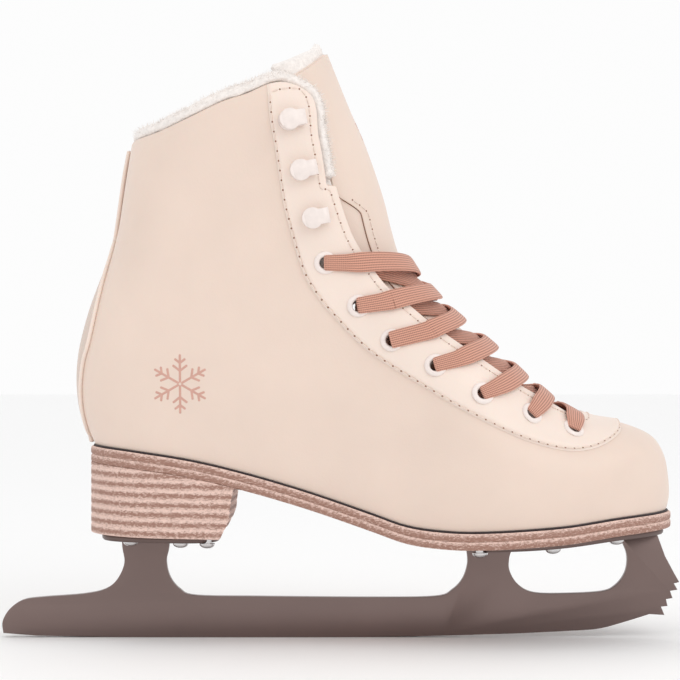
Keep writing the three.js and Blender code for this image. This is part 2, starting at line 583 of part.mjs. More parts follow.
sides.forEach(([side, word]) => HOOKS.forEach(([x, z], i) => {
  const place = seat(x, z, side, new THREE.Vector3(0.97, 0, 0.2));
  add(`hook_${word}_${i + 1}`, moved(hookSolid, place), 'enamel');
}));

// ---- tongue: its free top folds forward at FOLD ----
const FOLD = up(64.9, 187);
const FOLD_SLOPE = 0.22; // the fold's cut drops towards the back
const tongueFace = -TONGUE_DEPTH;
const tongueBody = layer(tongueFace, tongueFace - TONGUE_THICKNESS);
const TONGUE_BACK = splinePoints(outline([[4, 160], [16, 164], [28, 160], [42, 146],
  [60, 128], [84, 112], [110, 98], [134, 89], [150, 84]]), 16);
const lowerRegion = sidePrism([...TONGUE_BACK, up(162, 84), up(162, 130),
  [FOLD[0] + 40, FOLD[1] - GAP + 40 * FOLD_SLOPE], [FOLD[0], FOLD[1] - GAP],
  [FOLD[0] - 62, FOLD[1] - GAP - 62 * FOLD_SLOPE]]);
const TONGUE_TOP = splinePoints(outline([[4, 238], [12.4, 246.5], [22.2, 255.2], [28.5, 261.5],
  [33.3, 264], [36.5, 261.5], [60, 262]]), 12);
const upperRegion = sidePrism([[FOLD[0] - 80, FOLD[1] - 80 * FOLD_SLOPE], FOLD,
  [FOLD[0] + 30, FOLD[1] + 30 * FOLD_SLOPE], up(90, 262), ...TONGUE_TOP.reverse(), up(4, 210)]);
const tongueBand = (halfWide) => planPrism([[-100, -halfWide], [200, -halfWide], [200, halfWide],
  [-100, halfWide]]);
add('tongue_lower', tongueBody.intersect(lowerRegion).intersect(tongueBand(TONGUE_HALF_WIDTH + 4)), 'fleece');
add('tongue_upper', tongueBody.intersect(upperRegion).intersect(tongueBand(TONGUE_HALF_WIDTH)), 'fleece');
const panel = layer(tongueFace + GAP + TONGUE_PANEL_THICKNESS, tongueFace + GAP);
add('tongue_panel', panel.intersect(upperRegion).intersect(tongueBand(TONGUE_HALF_WIDTH - 5)), 'leather');

// ---- lace ----
// The skin's point above a place inside it, found straight out towards the throat.
function above(inside) {
  const { x, y, z } = inside;
  const d = softDistance(frontProfile, x, z);
  const e = 0.5;
  const gx = softDistance(frontProfile, x + e, z) - d;
  const gz = softDistance(frontProfile, x, z + e) - d;
  const out = new THREE.Vector3(-gx, 0, -gz).normalize();
  let near = 0;
  let beyond = d + 30;
  for (let n = 0; n < 30; n += 1) {
    const middleWay = (near + beyond) / 2;
    const px = x + out.x * middleWay;
    const pz = z + out.z * middleWay;
    const inFront = crossed(px, pz);
    if (inFront || halfWidth(px, pz) < Math.abs(y - middle(px))) beyond = middleWay;
    else near = middleWay;
  }
  const point = new THREE.Vector3(x + out.x * near, y, z + out.z * near);
  const px = point.x - out.x;
  const pz = point.z - out.z;
  const square = (a, b) => halfWidth(a, b) ** 2;
  const normal = new THREE.Vector3(
    -(square(px + e, pz) - square(px - e, pz)) / (2 * e),
    2 * (y - middle(point.x)),
    -(square(px, pz + e) - square(px, pz - e)) / (2 * e),
  ).normalize();
  return { point, normal };
}
// Is a point of the side view past the front profile?
function crossed(x, z) {
  let best = Infinity;
  let past = false;
  for (let i = 1; i < frontProfile.length; i += 1) {
    const a = frontProfile[i - 1];
    const b = frontProfile[i];
    const length = Math.hypot(b.x - a.x, b.y - a.y);
    const t = clamp(((x - a.x) * (b.x - a.x) + (z - a.y) * (b.y - a.y)) / length ** 2);
    const gap = Math.hypot(x - mix(a.x, b.x, t), z - mix(a.y, b.y, t));
    if (gap < best) {
      best = gap;
      past = (x - a.x) * (b.y - a.y) - (z - a.y) * (b.x - a.x) > 0;
    }
  }
  return past;
}
const throatShape = [...THROAT_EDGE, far(152.5, 200), far(120, 320), far(38, 320)];
function inThroat({ x, z }) {
  let inside = false;
  throatShape.forEach(([ax, az], i) => {
    const [bx, bz] = throatShape[(i + 1) % throatShape.length];
    if ((az > z) !== (bz > z) && x < ax + ((z - az) / (bz - az)) * (bx - ax)) inside = !inside;
  });
  return inside;
}
const laceOver = overlayTop + GAP + 0.8 + LACE_THICKNESS / 2 + GAP;
const laceUnder = -UPPER_THICKNESS - GAP - 0.6 - LACE_THICKNESS / 2 - 0.5;
const laceOnTongue = tongueFace + GAP + LACE_THICKNESS / 2 + 0.9; // it bridges the tongue's curve

// One flat length of lace through control points that each have a place, width and side.
function ribbon(controls) {
  const path = new THREE.CatmullRomCurve3(controls.map((c) => c.point), false, 'centripetal');
  const steps = Math.round(controls.length * 1.5);
  const rings = [];
  for (let i = 0; i <= steps; i += 1) {
    const t = i / steps;
    const centre = path.getPoint(t);
    const tangent = path.getTangent(t);
    const k = t * (controls.length - 1);
    const a = controls[Math.floor(Math.min(k, controls.length - 1.001))];
    const b = controls[Math.ceil(k)] ?? a;
    const f = k - Math.floor(k);
    const width = mix(a.width, b.width, f) / 2;
    const thick = mix(a.thick, b.thick, f) / 2;
    const side = a.side.clone().lerp(b.side, f);
    side.addScaledVector(tangent, -side.dot(tangent)).normalize();
    const out = tangent.clone().cross(side).normalize();
    rings.push([[-1, -1], [1, -1], [1, 1], [-1, 1]].map(([u, v]) => (
      centre.clone().addScaledVector(side, u * width).addScaledVector(out, v * thick))));
  }
  const solid = toSolid(loft(rings));
  return solid.volume() < 0 ? toSolid(loft(rings.map((r) => [...r].reverse()))) : solid;
}

const IN_BORE = { width: 2.6, thick: 1.2 };
const FLAT = { width: LACE_WIDTH, thick: LACE_THICKNESS };
const GATHERED = { width: 6, thick: LACE_THICKNESS };

// A strip runs out of one eyelet, over the tongue and under the far edge to the next.
function strip(from, to, side, tucked) {
  const a = onSkin(...from, side);
  const b = onSkin(...to, -side);
  const way = (s) => above(a.point.clone().lerp(b.point, s));
  const steps = Array.from({ length: 80 }, (_, i) => (i + 0.5) / 80);
  const nearEdge = steps.find((s) => inThroat(way(s).point));
  const farEdge = [...steps].reverse().find((s) => inThroat(way(s).point));
  const spot = (s, offset, size = FLAT, hold = null) => {
    const { point, normal } = hold ?? way(s);
    return { point: point.clone().addScaledVector(normal, offset), normal, ...size };
  };
  const list = [
    spot(0, -0.6, IN_BORE, a), spot(0, overlayTop, IN_BORE, a), spot(0, laceOver, IN_BORE, a),
    spot(nearEdge * 0.5, laceOver + 0.7, GATHERED), spot(nearEdge, laceOver),
    spot(mix(nearEdge, 0.5, 0.35), 0.4), spot(mix(nearEdge, 0.5, 0.7), laceOnTongue + 1.2),
    spot(0.5, laceOnTongue + 0.4), spot(mix(0.5, farEdge, 0.35), laceOnTongue),
    spot(mix(0.5, farEdge, 0.7), laceOnTongue), spot(farEdge, laceUnder),
  ];
  if (tucked) list.push(spot(mix(farEdge, 1, 0.6), laceUnder));
  else {
    list.push(spot(mix(farEdge, 1, 0.5), laceUnder - 0.2, GATHERED));
    list.push(spot(1, laceUnder - 0.2, IN_BORE, b), spot(1, laceUnder + 0.9, IN_BORE, b));
    list.push(spot(1, -0.4, IN_BORE, b));
  }
  const along = b.point.clone().sub(a.point).normalize();
  list.forEach((c) => {
    c.side = c.normal.clone().cross(along).normalize();
  });
  return ribbon(list);
}
const TUCK = up(38, 165);
let lace = null;
const join = (solid) => {
  lace = lace ? lace.add(solid) : solid;
};
[-1, 1].forEach((side) => {
  for (let i = EYELETS.length - 1; i > 0; i -= 1) join(strip(EYELETS[i], EYELETS[i - 1], side));
  join(strip(EYELETS[0], TUCK, side, true));
});
const lowest = EYELETS[EYELETS.length - 1];
const barEnds = [-1, 1].map((side) => onSkin(...lowest, side));
const bar = [0.08, 0.3, 0.5, 0.7, 0.92].map((s) => {
  const { point, normal } = above(barEnds[0].point.clone().lerp(barEnds[1].point, s));
  const size = s > 0.1 && s < 0.9 ? GATHERED : IN_BORE;
  return { point: point.addScaledVector(normal, laceUnder - 0.1), normal, ...size };
});
const barEnd = ({ point, normal }, offset) => (
  { point: point.clone().addScaledVector(normal, offset), normal, ...IN_BORE });
const barList = [barEnd(barEnds[0], -0.5), barEnd(barEnds[0], laceUnder + 0.6), ...bar,
  barEnd(barEnds[1], laceUnder + 0.6), barEnd(barEnds[1], -0.5)];
barList.forEach((c) => {
  c.side = new THREE.Vector3(1, 0, -0.2).normalize();
});
join(ribbon(barList));
add('lace', lace, 'lace');

export default root;
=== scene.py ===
"""Looks of a laced figure skate, built around its CAD frame. Lengths inside are millimetres in the row frame."""

import math

import bmesh
import bpy
import numpy as np
from mathutils import Matrix, Vector, noise


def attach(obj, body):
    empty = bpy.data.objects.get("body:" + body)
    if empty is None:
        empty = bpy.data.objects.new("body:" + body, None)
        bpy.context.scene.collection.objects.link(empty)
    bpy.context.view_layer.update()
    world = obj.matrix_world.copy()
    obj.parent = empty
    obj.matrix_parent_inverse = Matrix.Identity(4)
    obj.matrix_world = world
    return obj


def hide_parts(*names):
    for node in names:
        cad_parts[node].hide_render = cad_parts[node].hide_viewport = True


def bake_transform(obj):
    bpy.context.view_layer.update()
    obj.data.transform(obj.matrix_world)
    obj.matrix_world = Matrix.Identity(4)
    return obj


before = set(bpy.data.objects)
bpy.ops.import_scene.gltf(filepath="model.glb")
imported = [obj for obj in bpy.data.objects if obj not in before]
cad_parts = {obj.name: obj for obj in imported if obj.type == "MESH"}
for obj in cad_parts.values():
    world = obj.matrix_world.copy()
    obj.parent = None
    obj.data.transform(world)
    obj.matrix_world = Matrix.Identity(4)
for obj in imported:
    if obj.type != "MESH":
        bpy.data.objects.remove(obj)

bl_info = {
    "name": "Figure skate looks",
    "version": (1, 0, 0),
    "blender": (4, 5, 0),
    "location": "View3D > Sidebar > Skate",
    "description": "Builds the leather, lining, lace, sole and blade of a figure skate",
    "category": "Object",
}

MM = 0.001
RANDOM = np.random.default_rng(7)


def linear(text):
    """An sRGB colour such as EAD7C8 as linear red, green and blue."""
    out = []
    for k in (0, 2, 4):
        c = int(text[k : k + 2], 16) / 255
        out.append(c / 12.92 if c <= 0.04045 else ((c + 0.055) / 1.055) ** 2.4)
    return tuple(out)


def size(name, description, default):
    """A length in metres, given in millimetres."""
    return bpy.props.FloatProperty(
        name=name, description=description, default=default * MM, unit="LENGTH", subtype="DISTANCE", precision=5
    )


def colour(name, description, text):
    return bpy.props.FloatVectorProperty(
        name=name, description=description, default=linear(text), subtype="COLOR", size=3, min=0, max=1
    )


class SkateSettings(bpy.types.PropertyGroup):
    """Sizes and colours of the skate's looks."""

    upper_thickness: size("Upper", "Thickness of the upper's leather", 1.8)
    facing_thickness: size("Facing", "Thickness of the facing and backstay", 1.3)
    piping_radius: size("Piping radius", "Radius of the cord along the backstay", 0.9)
    stitch_pitch: size("Stitch pitch", "Length from one needle hole to the next", 4.15)
    stitch_inset: size("Stitch inset", "Stitch line in from the facing's edge", 2.8)
    fleece_roll: size("Fleece roll", "Radius of the fleece along the collar", 2.5)
    fibre_length: size("Fibre length", "Length of the fleece's fibres", 2.6)
    lace_width: size("Lace width", "Width of the flat lace", 8.6)
    lace_thickness: size("Lace thickness", "Thickness of the flat lace", 1.5)
    eyelet_bore: size("Eyelet bore", "Diameter of the eyelet's hole", 5.0)
    eyelet_flange: size("Eyelet flange", "Diameter of the eyelet's flange", 9.8)
    hook_disc: size("Hook disc", "Diameter of the hook's round leaf", 9.0)
    screw_head: size("Screw head", "Diameter of the screw head", 6.8)
    blade_thickness: size("Blade", "Thickness of the blade", 4.0)
    leather: colour("Leather", "Smooth cream leather", "E5D0C2")
    facing: colour("Facing leather", "Lighter leather of the facings", "EEDCD0")
    fleece: colour("Fleece", "Off-white fleece", "F6EFEA")
    lace: colour("Lace", "Salmon lace", "D29A85")
    # Painted shade: the lace's colour darkened between its ribs, where the weave lies low.
    lace_groove_shade: colour("Lace groove", "Lace between its ribs", "98695A")
    stack_dark: colour("Stack dark", "Dark grain of the stacked leather", "9A7364")
    stack_light: colour("Stack light", "Light grain of the stacked leather", "DDBFB3")
    # Painted shade: the rand's near-black colour stands in for the shade in the seam between sole and upper.
    rand: colour("Rand", "Dark line between sole and upper", "2E2224")
    blade: colour("Blade", "Blade steel", "7C6B67")
    screw: colour("Screw", "Bright plated steel", "D8D6D6")
    enamel: colour("Enamel", "Pale enamel of eyelets and hooks", "EEE2DC")
    # Painted shade: the dark of the needle holes and the painted shadow beside the tongue panel's edge.
    hole: colour("Needle hole", "Needle holes and edge paint", "8F6753")
    thread: colour("Thread", "Stitching thread", "E9D6C9")


# ---- the boot's form ----
def spline_at(points, index):
    """Points at fractional indices of a smooth curve through a list of points."""
    p = np.asarray(points, float)
    last = len(p) - 1
    index = np.asarray(index, float)
    i = np.clip(index.astype(int), 0, last - 1)
    f = (index - i)[..., None]
    p0, p1, p2, p3 = p[np.maximum(i - 1, 0)], p[i], p[i + 1], p[np.minimum(i + 2, last)]
    a, b = (p2 - p0) / 2, (p3 - p1) / 2
    return (2 * p1 - 2 * p2 + a + b) * f**3 + (3 * p2 - 3 * p1 - 2 * a - b) * f**2 + a * f + p1


def spline(points, count):
    return spline_at(points, np.linspace(0, len(points) - 1, count + 1))


SOLE = spline([(-66, 85.2), (-45, 83.3), (-20, 79.5), (4, 73.8), (30, 66.2), (57, 57.2), (73, 51.9),
               (89, 49.9), (106, 49.8), (138, 51.6), (165, 54.6), (192, 56.2)], 160)
FOOT = spline([(-72, 32), (-20, 32.5), (35, 33.5), (75, 40.5), (108, 46.5), (140, 45.5), (192, 42.5)], 160)
# Ends of the boot's level lines from the sole to the top: front x, front z, back x, back z.
LEVELS = np.array([
    (188.6, 54, -63.2, 83.5), (190.6, 62, -64.6, 87), (190.3, 71.5, -66.6, 91.5), (188.2, 81.5, -68.6, 96.5),
    (182.5, 89.6, -70, 101.5), (170, 94.9, -70.8, 107), (154, 98, -71.2, 113), (141, 105.6, -71, 120),
    (128, 117, -70, 128), (113, 131.5, -67.9, 137), (96.5, 145.3, -64.9, 147), (84.5, 158, -61, 157.5),
    (76.5, 169.5, -57, 168), (72.5, 182, -53.9, 180), (68.5, 197.5, -51.6, 194.5), (61.5, 218, -48.6, 213.5),
    (53, 238, -45.4, 231), (44, 260.5, -41.5, 250)])


def unit(v):
    return v / np.maximum(np.linalg.norm(v, axis=-1, keepdims=True), 1e-12)


def sole_top(x):
    return np.interp(x, SOLE[:, 0], SOLE[:, 1])


def smooth(a, b, t):
    s = np.clip((t - a) / (b - a), 0, 1)
    return s * s * (3 - 2 * s)


def mix(a, b, t):
    return a + (b - a) * t


def profile(points):
    line = spline(points, 85)
    return np.vstack([line[0] - (0, 60), line, line[-1] + 80 * unit(line[-1] - line[-2])])


FRONT, BACK = profile(LEVELS[:, :2]), profile(LEVELS[:, 2:])


def distance(line, x, z, sign):
    """Smooth distance to the front (sign 1) or back (sign -1) profile, negative past it."""
    x, z = np.broadcast_arrays(np.asarray(x, float), np.asarray(z, float))
    flat = np.stack([x.ravel(), z.ravel()], 1)
    a, step = line[:-1], np.diff(line, axis=0)
    length = np.hypot(step[:, 0], step[:, 1])
    u = step / length[:, None]
    out = np.empty(len(flat))
    for k in range(0, len(flat), 8192):
        rel = a[None] - flat[k : k + 8192, None]
        s1 = rel[..., 0] * u[:, 0] + rel[..., 1] * u[:, 1]
        s2 = s1 + length
        h = rel[..., 1] * u[:, 0] - rel[..., 0] * u[:, 1]
        h2 = h * h + 1e-6
        total = ((s2 / np.sqrt(h2 + s2 * s2) - s1 / np.sqrt(h2 + s1 * s1)) / h2).sum(1)
        near = np.argmin(h2 + (-s1 - np.clip(-s1, 0, length)) ** 2, axis=1)
        past = h[np.arange(len(h)), near] * sign > 0
        out[k : k + 8192] = np.sqrt(2 / total) * np.where(past, -1, 1)
    return out.reshape(x.shape)


def squared(x, z):
    """Square of the boot's half width at a point of the side view, negative outside."""
    rise = z - sole_top(x)
    d = distance(FRONT, x, z, 1)
    dx = distance(FRONT, x + 0.5, z, 1) - d
    dz = distance(FRONT, x, z + 0.5, 1) - d
    lean = dx * dx / (dx * dx + dz * dz + 1e-9)
    front = mix(28, mix(55, 44, smooth(30, 80, rise)), lean)
    back = mix(34, 40, smooth(40, 110, rise))
    shaft = mix(35.5, 40.5, smooth(85, 165, rise))
    foot = np.interp(x, FOOT[:, 0], FOOT[:, 1])
    full = mix(foot, shaft, smooth(10, 60, rise) * (1 - smooth(40, 95, x)))
    tuck = 1 - 0.1 * np.exp(-np.maximum(0, rise) / 8)
    f, b = np.minimum(d / front, 1), np.minimum(distance(BACK, x, z, -1) / back, 1)
    return (full * tuck) ** 2 * f * (2 - f) * b * (2 - b)


def middle(x):
    return 4 * smooth(105, 192, x) - 1.5 * np.exp(-(((x - 105) / 35) ** 2))


def on_skin(x, z, side, offset=0.0):
    """Point and outward normal of the boot's skin; side is -1 outer, 1 inner."""
    x, z = np.broadcast_arrays(np.asarray(x, float), np.asarray(z, float))
    e = 0.5
    half = np.sqrt(np.maximum(squared(x, z), 0))
    gx = (squared(x + e, z) - squared(x - e, z)) / (2 * e)
    gz = (squared(x, z + e) - squared(x, z - e)) / (2 * e)
    mx = (middle(x + e) - middle(x - e)) / (2 * e)
    normal = unit(np.stack([-side * half * mx - gx / 2, side * half, -gz / 2], -1))
    return np.stack([x, middle(x) + side * half, z], -1) + normal * offset, normal


def both_sides(x, z, axis):
    """The outer side, then the inner side run back, joined where they meet at the end of an axis."""
    rest = [slice(None)] * 3
    rest[axis] = slice(-2, None, -1)
    outer, inner = on_skin(x, z, -1), on_skin(x, z, 1)
    return [np.concatenate([a, b[tuple(rest)]], axis) for a, b in zip(outer, inner)]


def along(curve):
    """Point of a curve at a share of its length."""
    curve = np.asarray(curve, float)
    run = np.concatenate([[0], np.cumsum(np.linalg.norm(np.diff(curve, axis=0), axis=1))])
    run /= run[-1]
    return lambda t: np.stack([np.interp(t, run, c) for c in curve.T], -1)


def patch(low, high, first, last):
    """Side-view points between four edges: s runs along low and high, t along first and last."""
    a, b, c, d = (along(e) for e in (low, high, first, last))

    def at(s, t):
        s, t = np.broadcast_arrays(s, t)
        u, v = s[..., None], t[..., None]
        corners = (1 - u) * (1 - v) * a(0.0) + u * (1 - v) * a(1.0) + (1 - u) * v * b(0.0) + u * v * b(1.0)
        return (1 - v) * a(s) + v * b(s) + (1 - u) * c(t) + u * d(t) - corners

    return at


def on_profile(line, low, high, count=60):
    """Part of a profile between two heights."""
    z = np.linspace(low, high, count)
    return np.stack([np.interp(z, line[:, 1], line[:, 0]), z], 1)


def trimmed(curve, line, sign):
    """The part of a side-view curve inside a profile, with its end put on the profile."""
    d = distance(line, curve[:, 0], curve[:, 1], sign)
    inside = np.flatnonzero(d > 0)
    first, last = inside[0], inside[-1]
    out = [curve[first : last + 1]]
    for k, j in ((first, first - 1), (last, last + 1)):
        if 0 <= j < len(curve):
            cross = curve[k] + (curve[j] - curve[k]) * d[k] / (d[k] - d[j])
            cross = np.array([[np.interp(cross[1], line[:, 1], line[:, 0]), cross[1]]])
            out = [cross, *out] if j < k else [*out, cross]
    return np.vstack(out)


THROAT = spline([(41.8, 197.2), (46.5, 182.4), (51.3, 171.8), (61.8, 156.5), (70.2, 148.9), (84.8, 136.6),
                 (100.8, 125.2), (120.7, 111.7), (137, 102.6), (146, 97.6), (151, 98.6), (152.5, 108)], 120)
COLLAR = spline([(-56, 215), (-47, 218.1), (-34.2, 220.6), (-19.7, 226.1), (-5.5, 232.4), (4.8, 235.7),
                 (13.7, 239.7), (21, 240.9), (27.3, 239), (31.6, 235.4), (33.4, 229.8), (34.3, 219.3),
                 (35.9, 210.8), (38, 197.2)], 120)
FACING = spline([(13.5, 239.6), (14.6, 225.9), (16.7, 213.8), (19.4, 195.5), (21.7, 183.9), (28.1, 162),
                 (33.1, 152.5), (40.3, 143.2), (56.6, 126.9), (77, 113.7), (99.1, 100.7), (121.7, 89.8),
                 (140, 84.8), (153.2, 85.5), (164, 90.2), (168, 95), (169, 104)], 140)
BACKSTAY = spline([(-65, 80), (-65.2, 86.2), (-68, 99), (-68.7, 110), (-67.2, 122), (-64, 133), (-59, 158),
                   (-54.8, 176.4), (-50.6, 205), (-47.2, 222)], 90)
LINING_FRONT = spline([(44, 193), (30, 180), (32, 160), (42, 143), (58, 128), (80, 114), (104, 100),
                       (124, 90.5), (142, 85), (160, 92), (164, 110)], 80)
EYELETS = [(38.2, 164.7), (52.2, 146.3), (66.5, 131.6), (85.1, 120.9), (104.4, 108.9), (125.3, 99.9), (144.1, 92.8)]
HOOKS = [(22.4, 225), (27.4, 204), (32.6, 183.8)]
UPPER_RISE = 0.8  # the upper's lower edge above the sole
SKIN_GAP = 0.1  # under pieces that lie on the boot's skin
LIFT = 4.15  # thickness of one lift of the heel, with its glue line
WELT = 2.3  # how far the sole stands out past the upper
RIB_PITCH, STRAND_PITCH = 1.05, 0.8  # of the lace's weave
COVER_DEPTH, FACE_DEPTH, PAD_DEPTH = 5.5, 6.3, 7.3  # of the tongue's layers under the line of the skin
CROWN = 0.62  # how much lower the tongue's top corners are, in levels
EYELET_ROOM = 3.1  # radius cut out of the facing round each eyelet

EDGE = trimmed(trimmed(np.vstack([COLLAR, THROAT]), BACK, -1), FRONT, 1)


def sole_line(rise, count=120):
    """Side-view line above the sole from the back profile to the front profile."""
    x = np.linspace(-72, 198, 600)
    z = sole_top(x) + rise
    inside = (x > np.interp(z, BACK[:, 1], BACK[:, 0])) & (x < np.interp(z, FRONT[:, 1], FRONT[:, 0]))
    low, high = x[inside][0], x[inside][-1]
    x = np.linspace(low, high, count)
    line = np.stack([x, sole_top(x) + rise], 1)
    line[0, 0] = np.interp(line[0, 1], BACK[:, 1], BACK[:, 0])
    line[-1, 0] = np.interp(line[-1, 1], FRONT[:, 1], FRONT[:, 0])
    return line


def shoe_patch(rise, edge):
    low = sole_line(rise)
    return patch(low, edge, on_profile(BACK, low[0, 1], edge[0, 1]), on_profile(FRONT, low[-1, 1], edge[-1, 1]))


def facing_patch():
    tip = int(np.argmin(np.hypot(EDGE[:, 0] - 27.3, EDGE[:, 1] - 239)))
    start = int(np.argmin(np.hypot(EDGE[:, 0] - 13.5, EDGE[:, 1] - 239.6)))
    outer = trimmed(FACING, FRONT, 1)
    outer[0] = EDGE[start]
    front = on_profile(FRONT, outer[-1, 1], EDGE[-1, 1])
    return patch(EDGE[start : tip + 1], front, outer, EDGE[tip:])


# ---- meshes ----
def set_mesh(name, bm, *materials, sharp=40):
    mesh = bpy.data.meshes.new(name)
    bm.to_mesh(mesh)
    bm.free()
    mesh.polygons.foreach_set("use_smooth", [True] * len(mesh.polygons))
    mesh.set_sharp_from_angle(angle=math.radians(sharp))
    for m in materials:
        mesh.materials.append(m)
    obj = bpy.data.objects.new(name, mesh)
    bpy.context.scene.collection.objects.link(obj)
    return obj


def add_grid(bm, grid, uv=None, gone=None, material=0):
    """Adds a grid of points to bm, in metres; points marked gone are cut out. uv is in millimetres."""
    rows, cols = grid.shape[:2]
    layer = bm.loops.layers.uv.verify() if uv is not None else None
    made = bmesh.ops.create_grid(bm, x_segments=cols - 1, y_segments=rows - 1, size=1)["verts"]
    place = {}
    for v in made:
        i, j = round((v.co.x + 1) / 2 * (cols - 1)), round((v.co.y + 1) / 2 * (rows - 1))
        place[v] = (j, i)
    for v, (j, i) in place.items():
        v.co = grid[j, i] * MM
    faces = {f for v in made for f in v.link_faces}
    for f in faces:
        f.material_index = material
        if layer:
            for loop in f.loops:
                loop[layer].uv = uv[place[loop.vert]]
    if gone is not None and gone.any():
        cut = [v for v, at in place.items() if gone[at]]
        bmesh.ops.delete(bm, geom=cut, context="VERTS")


def close(bm):
    bmesh.ops.remove_doubles(bm, verts=bm.verts, dist=1e-5)
    bmesh.ops.dissolve_degenerate(bm, edges=bm.edges, dist=1e-6)
    bmesh.ops.recalc_face_normals(bm, faces=bm.faces)


def grid_object(name, grids, *materials, uvs=None, gone=None, sharp=40):
    bm = bmesh.new()
    for k, grid in enumerate(grids):
        add_grid(bm, grid, None if uvs is None else uvs[k], None if gone is None else gone[k])
    close(bm)
    return set_mesh(name, bm, *materials, sharp=sharp)


def slab(outer, inner, capped):
    """A closed sheet between two faces: rows run over the outer face, round the edge and back below."""

    def rounded(a, b, before):
        mid, out = (a + b) / 2, unit(a - before) * np.linalg.norm(b - a, axis=-1, keepdims=True) / 2
        return [mid + (a - mid) * math.cos(w) + out * math.sin(w) for w in (0.6, 1.57, 2.54)]

    centre = (outer + inner) / 2
    rows = [*outer, *rounded(outer[-1], inner[-1], outer[-2]), *inner[::-1],
            *rounded(inner[0], outer[0], inner[1]), outer[0]]
    flat = [*centre, *[centre[-1]] * 3, *centre[::-1], *[centre[0]] * 3, centre[0]]
    grid, flat = np.array(rows), np.array(flat)
    if not capped:
        return grid
    thick = np.linalg.norm(outer - inner, axis=-1).mean() / 2
    ends = [flat[:, k] + unit(flat[:, k] - flat[:, j]) * thick * 0.8 for k, j in ((0, 1), (-1, -2))]
    return np.concatenate([ends[0][:, None], grid, ends[1][:, None]], 1)


def tube(path, normals, radius, segments=12, flat=1.0):
    """A closed tube round a path; flat squashes it across the given normals."""
    tangent = unit(np.gradient(path, axis=0))
    side = unit(np.cross(tangent, normals))
    up = np.cross(side, tangent)
    radius = np.broadcast_to(radius, len(path))[:, None]
    rows = []
    for a in np.linspace(0, 2 * math.pi, segments + 1):
        rows.append(path + radius * (side * math.cos(a) + up * math.sin(a) * flat))
    grid = np.array(rows)
    ends = [np.repeat(p[None, None] + t * radius[0, 0] * 0.6, segments + 1, 0)
            for p, t in ((path[0], -tangent[0]), (path[-1], tangent[-1]))]
    return np.concatenate([ends[0], grid, ends[1]], 1)


def near_axes(grid, axes, radius):
    """Points of a grid within a radius of any of the axes (point, direction)."""
    found = np.zeros(grid.shape[:2], bool)
    for point, direction in axes:
        rel = grid - point
        depth = rel @ direction
        off = np.linalg.norm(rel - depth[..., None] * direction, axis=-1)
        found |= (off < radius) & (np.abs(depth) < 9)
    return found


def seat(x, z, side, forward=(0.75, 0, 0.65)):
    """Matrix, in metres, that puts a piece made round +Z with +X to the throat on the skin."""
    point, normal = on_skin(x, z, side)
    ahead = unit(np.array(forward) - normal * np.dot(forward, normal))
    across = np.cross(normal, ahead)
    m = np.eye(4)
    m[:3, :3] = np.stack([ahead, across, normal], 1)
    m[:3, 3] = point * MM
    return Matrix(m.tolist())


def eyelet_axes():
    out = []
    for side in (-1, 1):
        for x, z in EYELETS:
            out.append(on_skin(x, z, side))
    return out


def give(obj, body, slot, *nodes):
    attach(obj, body)
    if nodes:
        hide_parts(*nodes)


def flex(obj, slot, *nodes):
    """Bakes a piece's placement into its mesh and hides the CAD parts it replaces."""
    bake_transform(obj)
    if nodes:
        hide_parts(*nodes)


def capped(grid):
    """The grid with the ends of its columns drawn together."""
    ends = [np.repeat(grid[:, k].mean(0)[None, None], len(grid), 0) for k in (0, -1)]
    return np.concatenate([ends[0], grid, ends[1]], 1)


# ---- materials ----
def add_node(tree, kind, values=None, links=None, **settings):
    """Adds a shader node with input values and with links from other nodes' outputs."""
    n = tree.nodes.new(kind)
    for key, value in settings.items():
        setattr(n, key, value)
    for key, value in (values or {}).items():
        n.inputs[key].default_value = value
    for key, (source, output) in (links or {}).items():
        tree.links.new(source.outputs[output], n.inputs[key])
    return n


def ramp(tree, source, output, stops):
    r = add_node(tree, "ShaderNodeValToRGB", links={0: (source, output)})
    while len(r.color_ramp.elements) < len(stops):
        r.color_ramp.elements.new(0.5)
    for e, (place, c) in zip(r.color_ramp.elements, stops):
        e.position, e.color = place, (*c, 1) if len(c) == 3 else c
    return r


def paint(tree, shader, source, output, stops):
    """Colours the surface by a ramp of stops."""
    tone = ramp(tree, source, output, stops)
    tree.links.new(tone.outputs["Color"], shader.inputs["Base Color"])


def cloudy(tree, vector, output, scale, detail, **more):
    """Noise read at a vector."""
    values = {"Scale": scale, "Detail": detail, **more}
    return add_node(tree, "ShaderNodeTexNoise", values, {"Vector": (vector, output)})


def calculate(tree, operation, a, times=None, plus=None):
    """A math node of (node, output) a, with a factor and a (node, output) to add."""
    links = {0: a} if plus is None else {0: a, 2: plus}
    return add_node(tree, "ShaderNodeMath", {} if times is None else {1: times}, links, operation=operation)


def start(name, roughness, metallic=0.0):
    """A new material: its node tree, its principled shader and the coordinates; only the material if it exists."""
    m = bpy.data.materials.get(name)
    if m is not None:
        return m, None, None, None
    m = bpy.data.materials.new(name)
    m.use_nodes = True
    tree = m.node_tree
    shader = tree.nodes["Principled BSDF"]
    shader.inputs["Roughness"].default_value = roughness
    shader.inputs["Metallic"].default_value = metallic
    return m, tree, shader, add_node(tree, "ShaderNodeTexCoord")


def bump(tree, shader, source, output, height, strength=1.0):
    """Raises the surface by a height in millimetres."""
    settings = {"Strength": strength, "Distance": height * MM}
    b = add_node(tree, "ShaderNodeBump", settings, {"Height": (source, output)})
    tree.links.new(b.outputs["Normal"], shader.inputs["Normal"])


def shade(c, k):
    return tuple(min(1, v * k) for v in c)


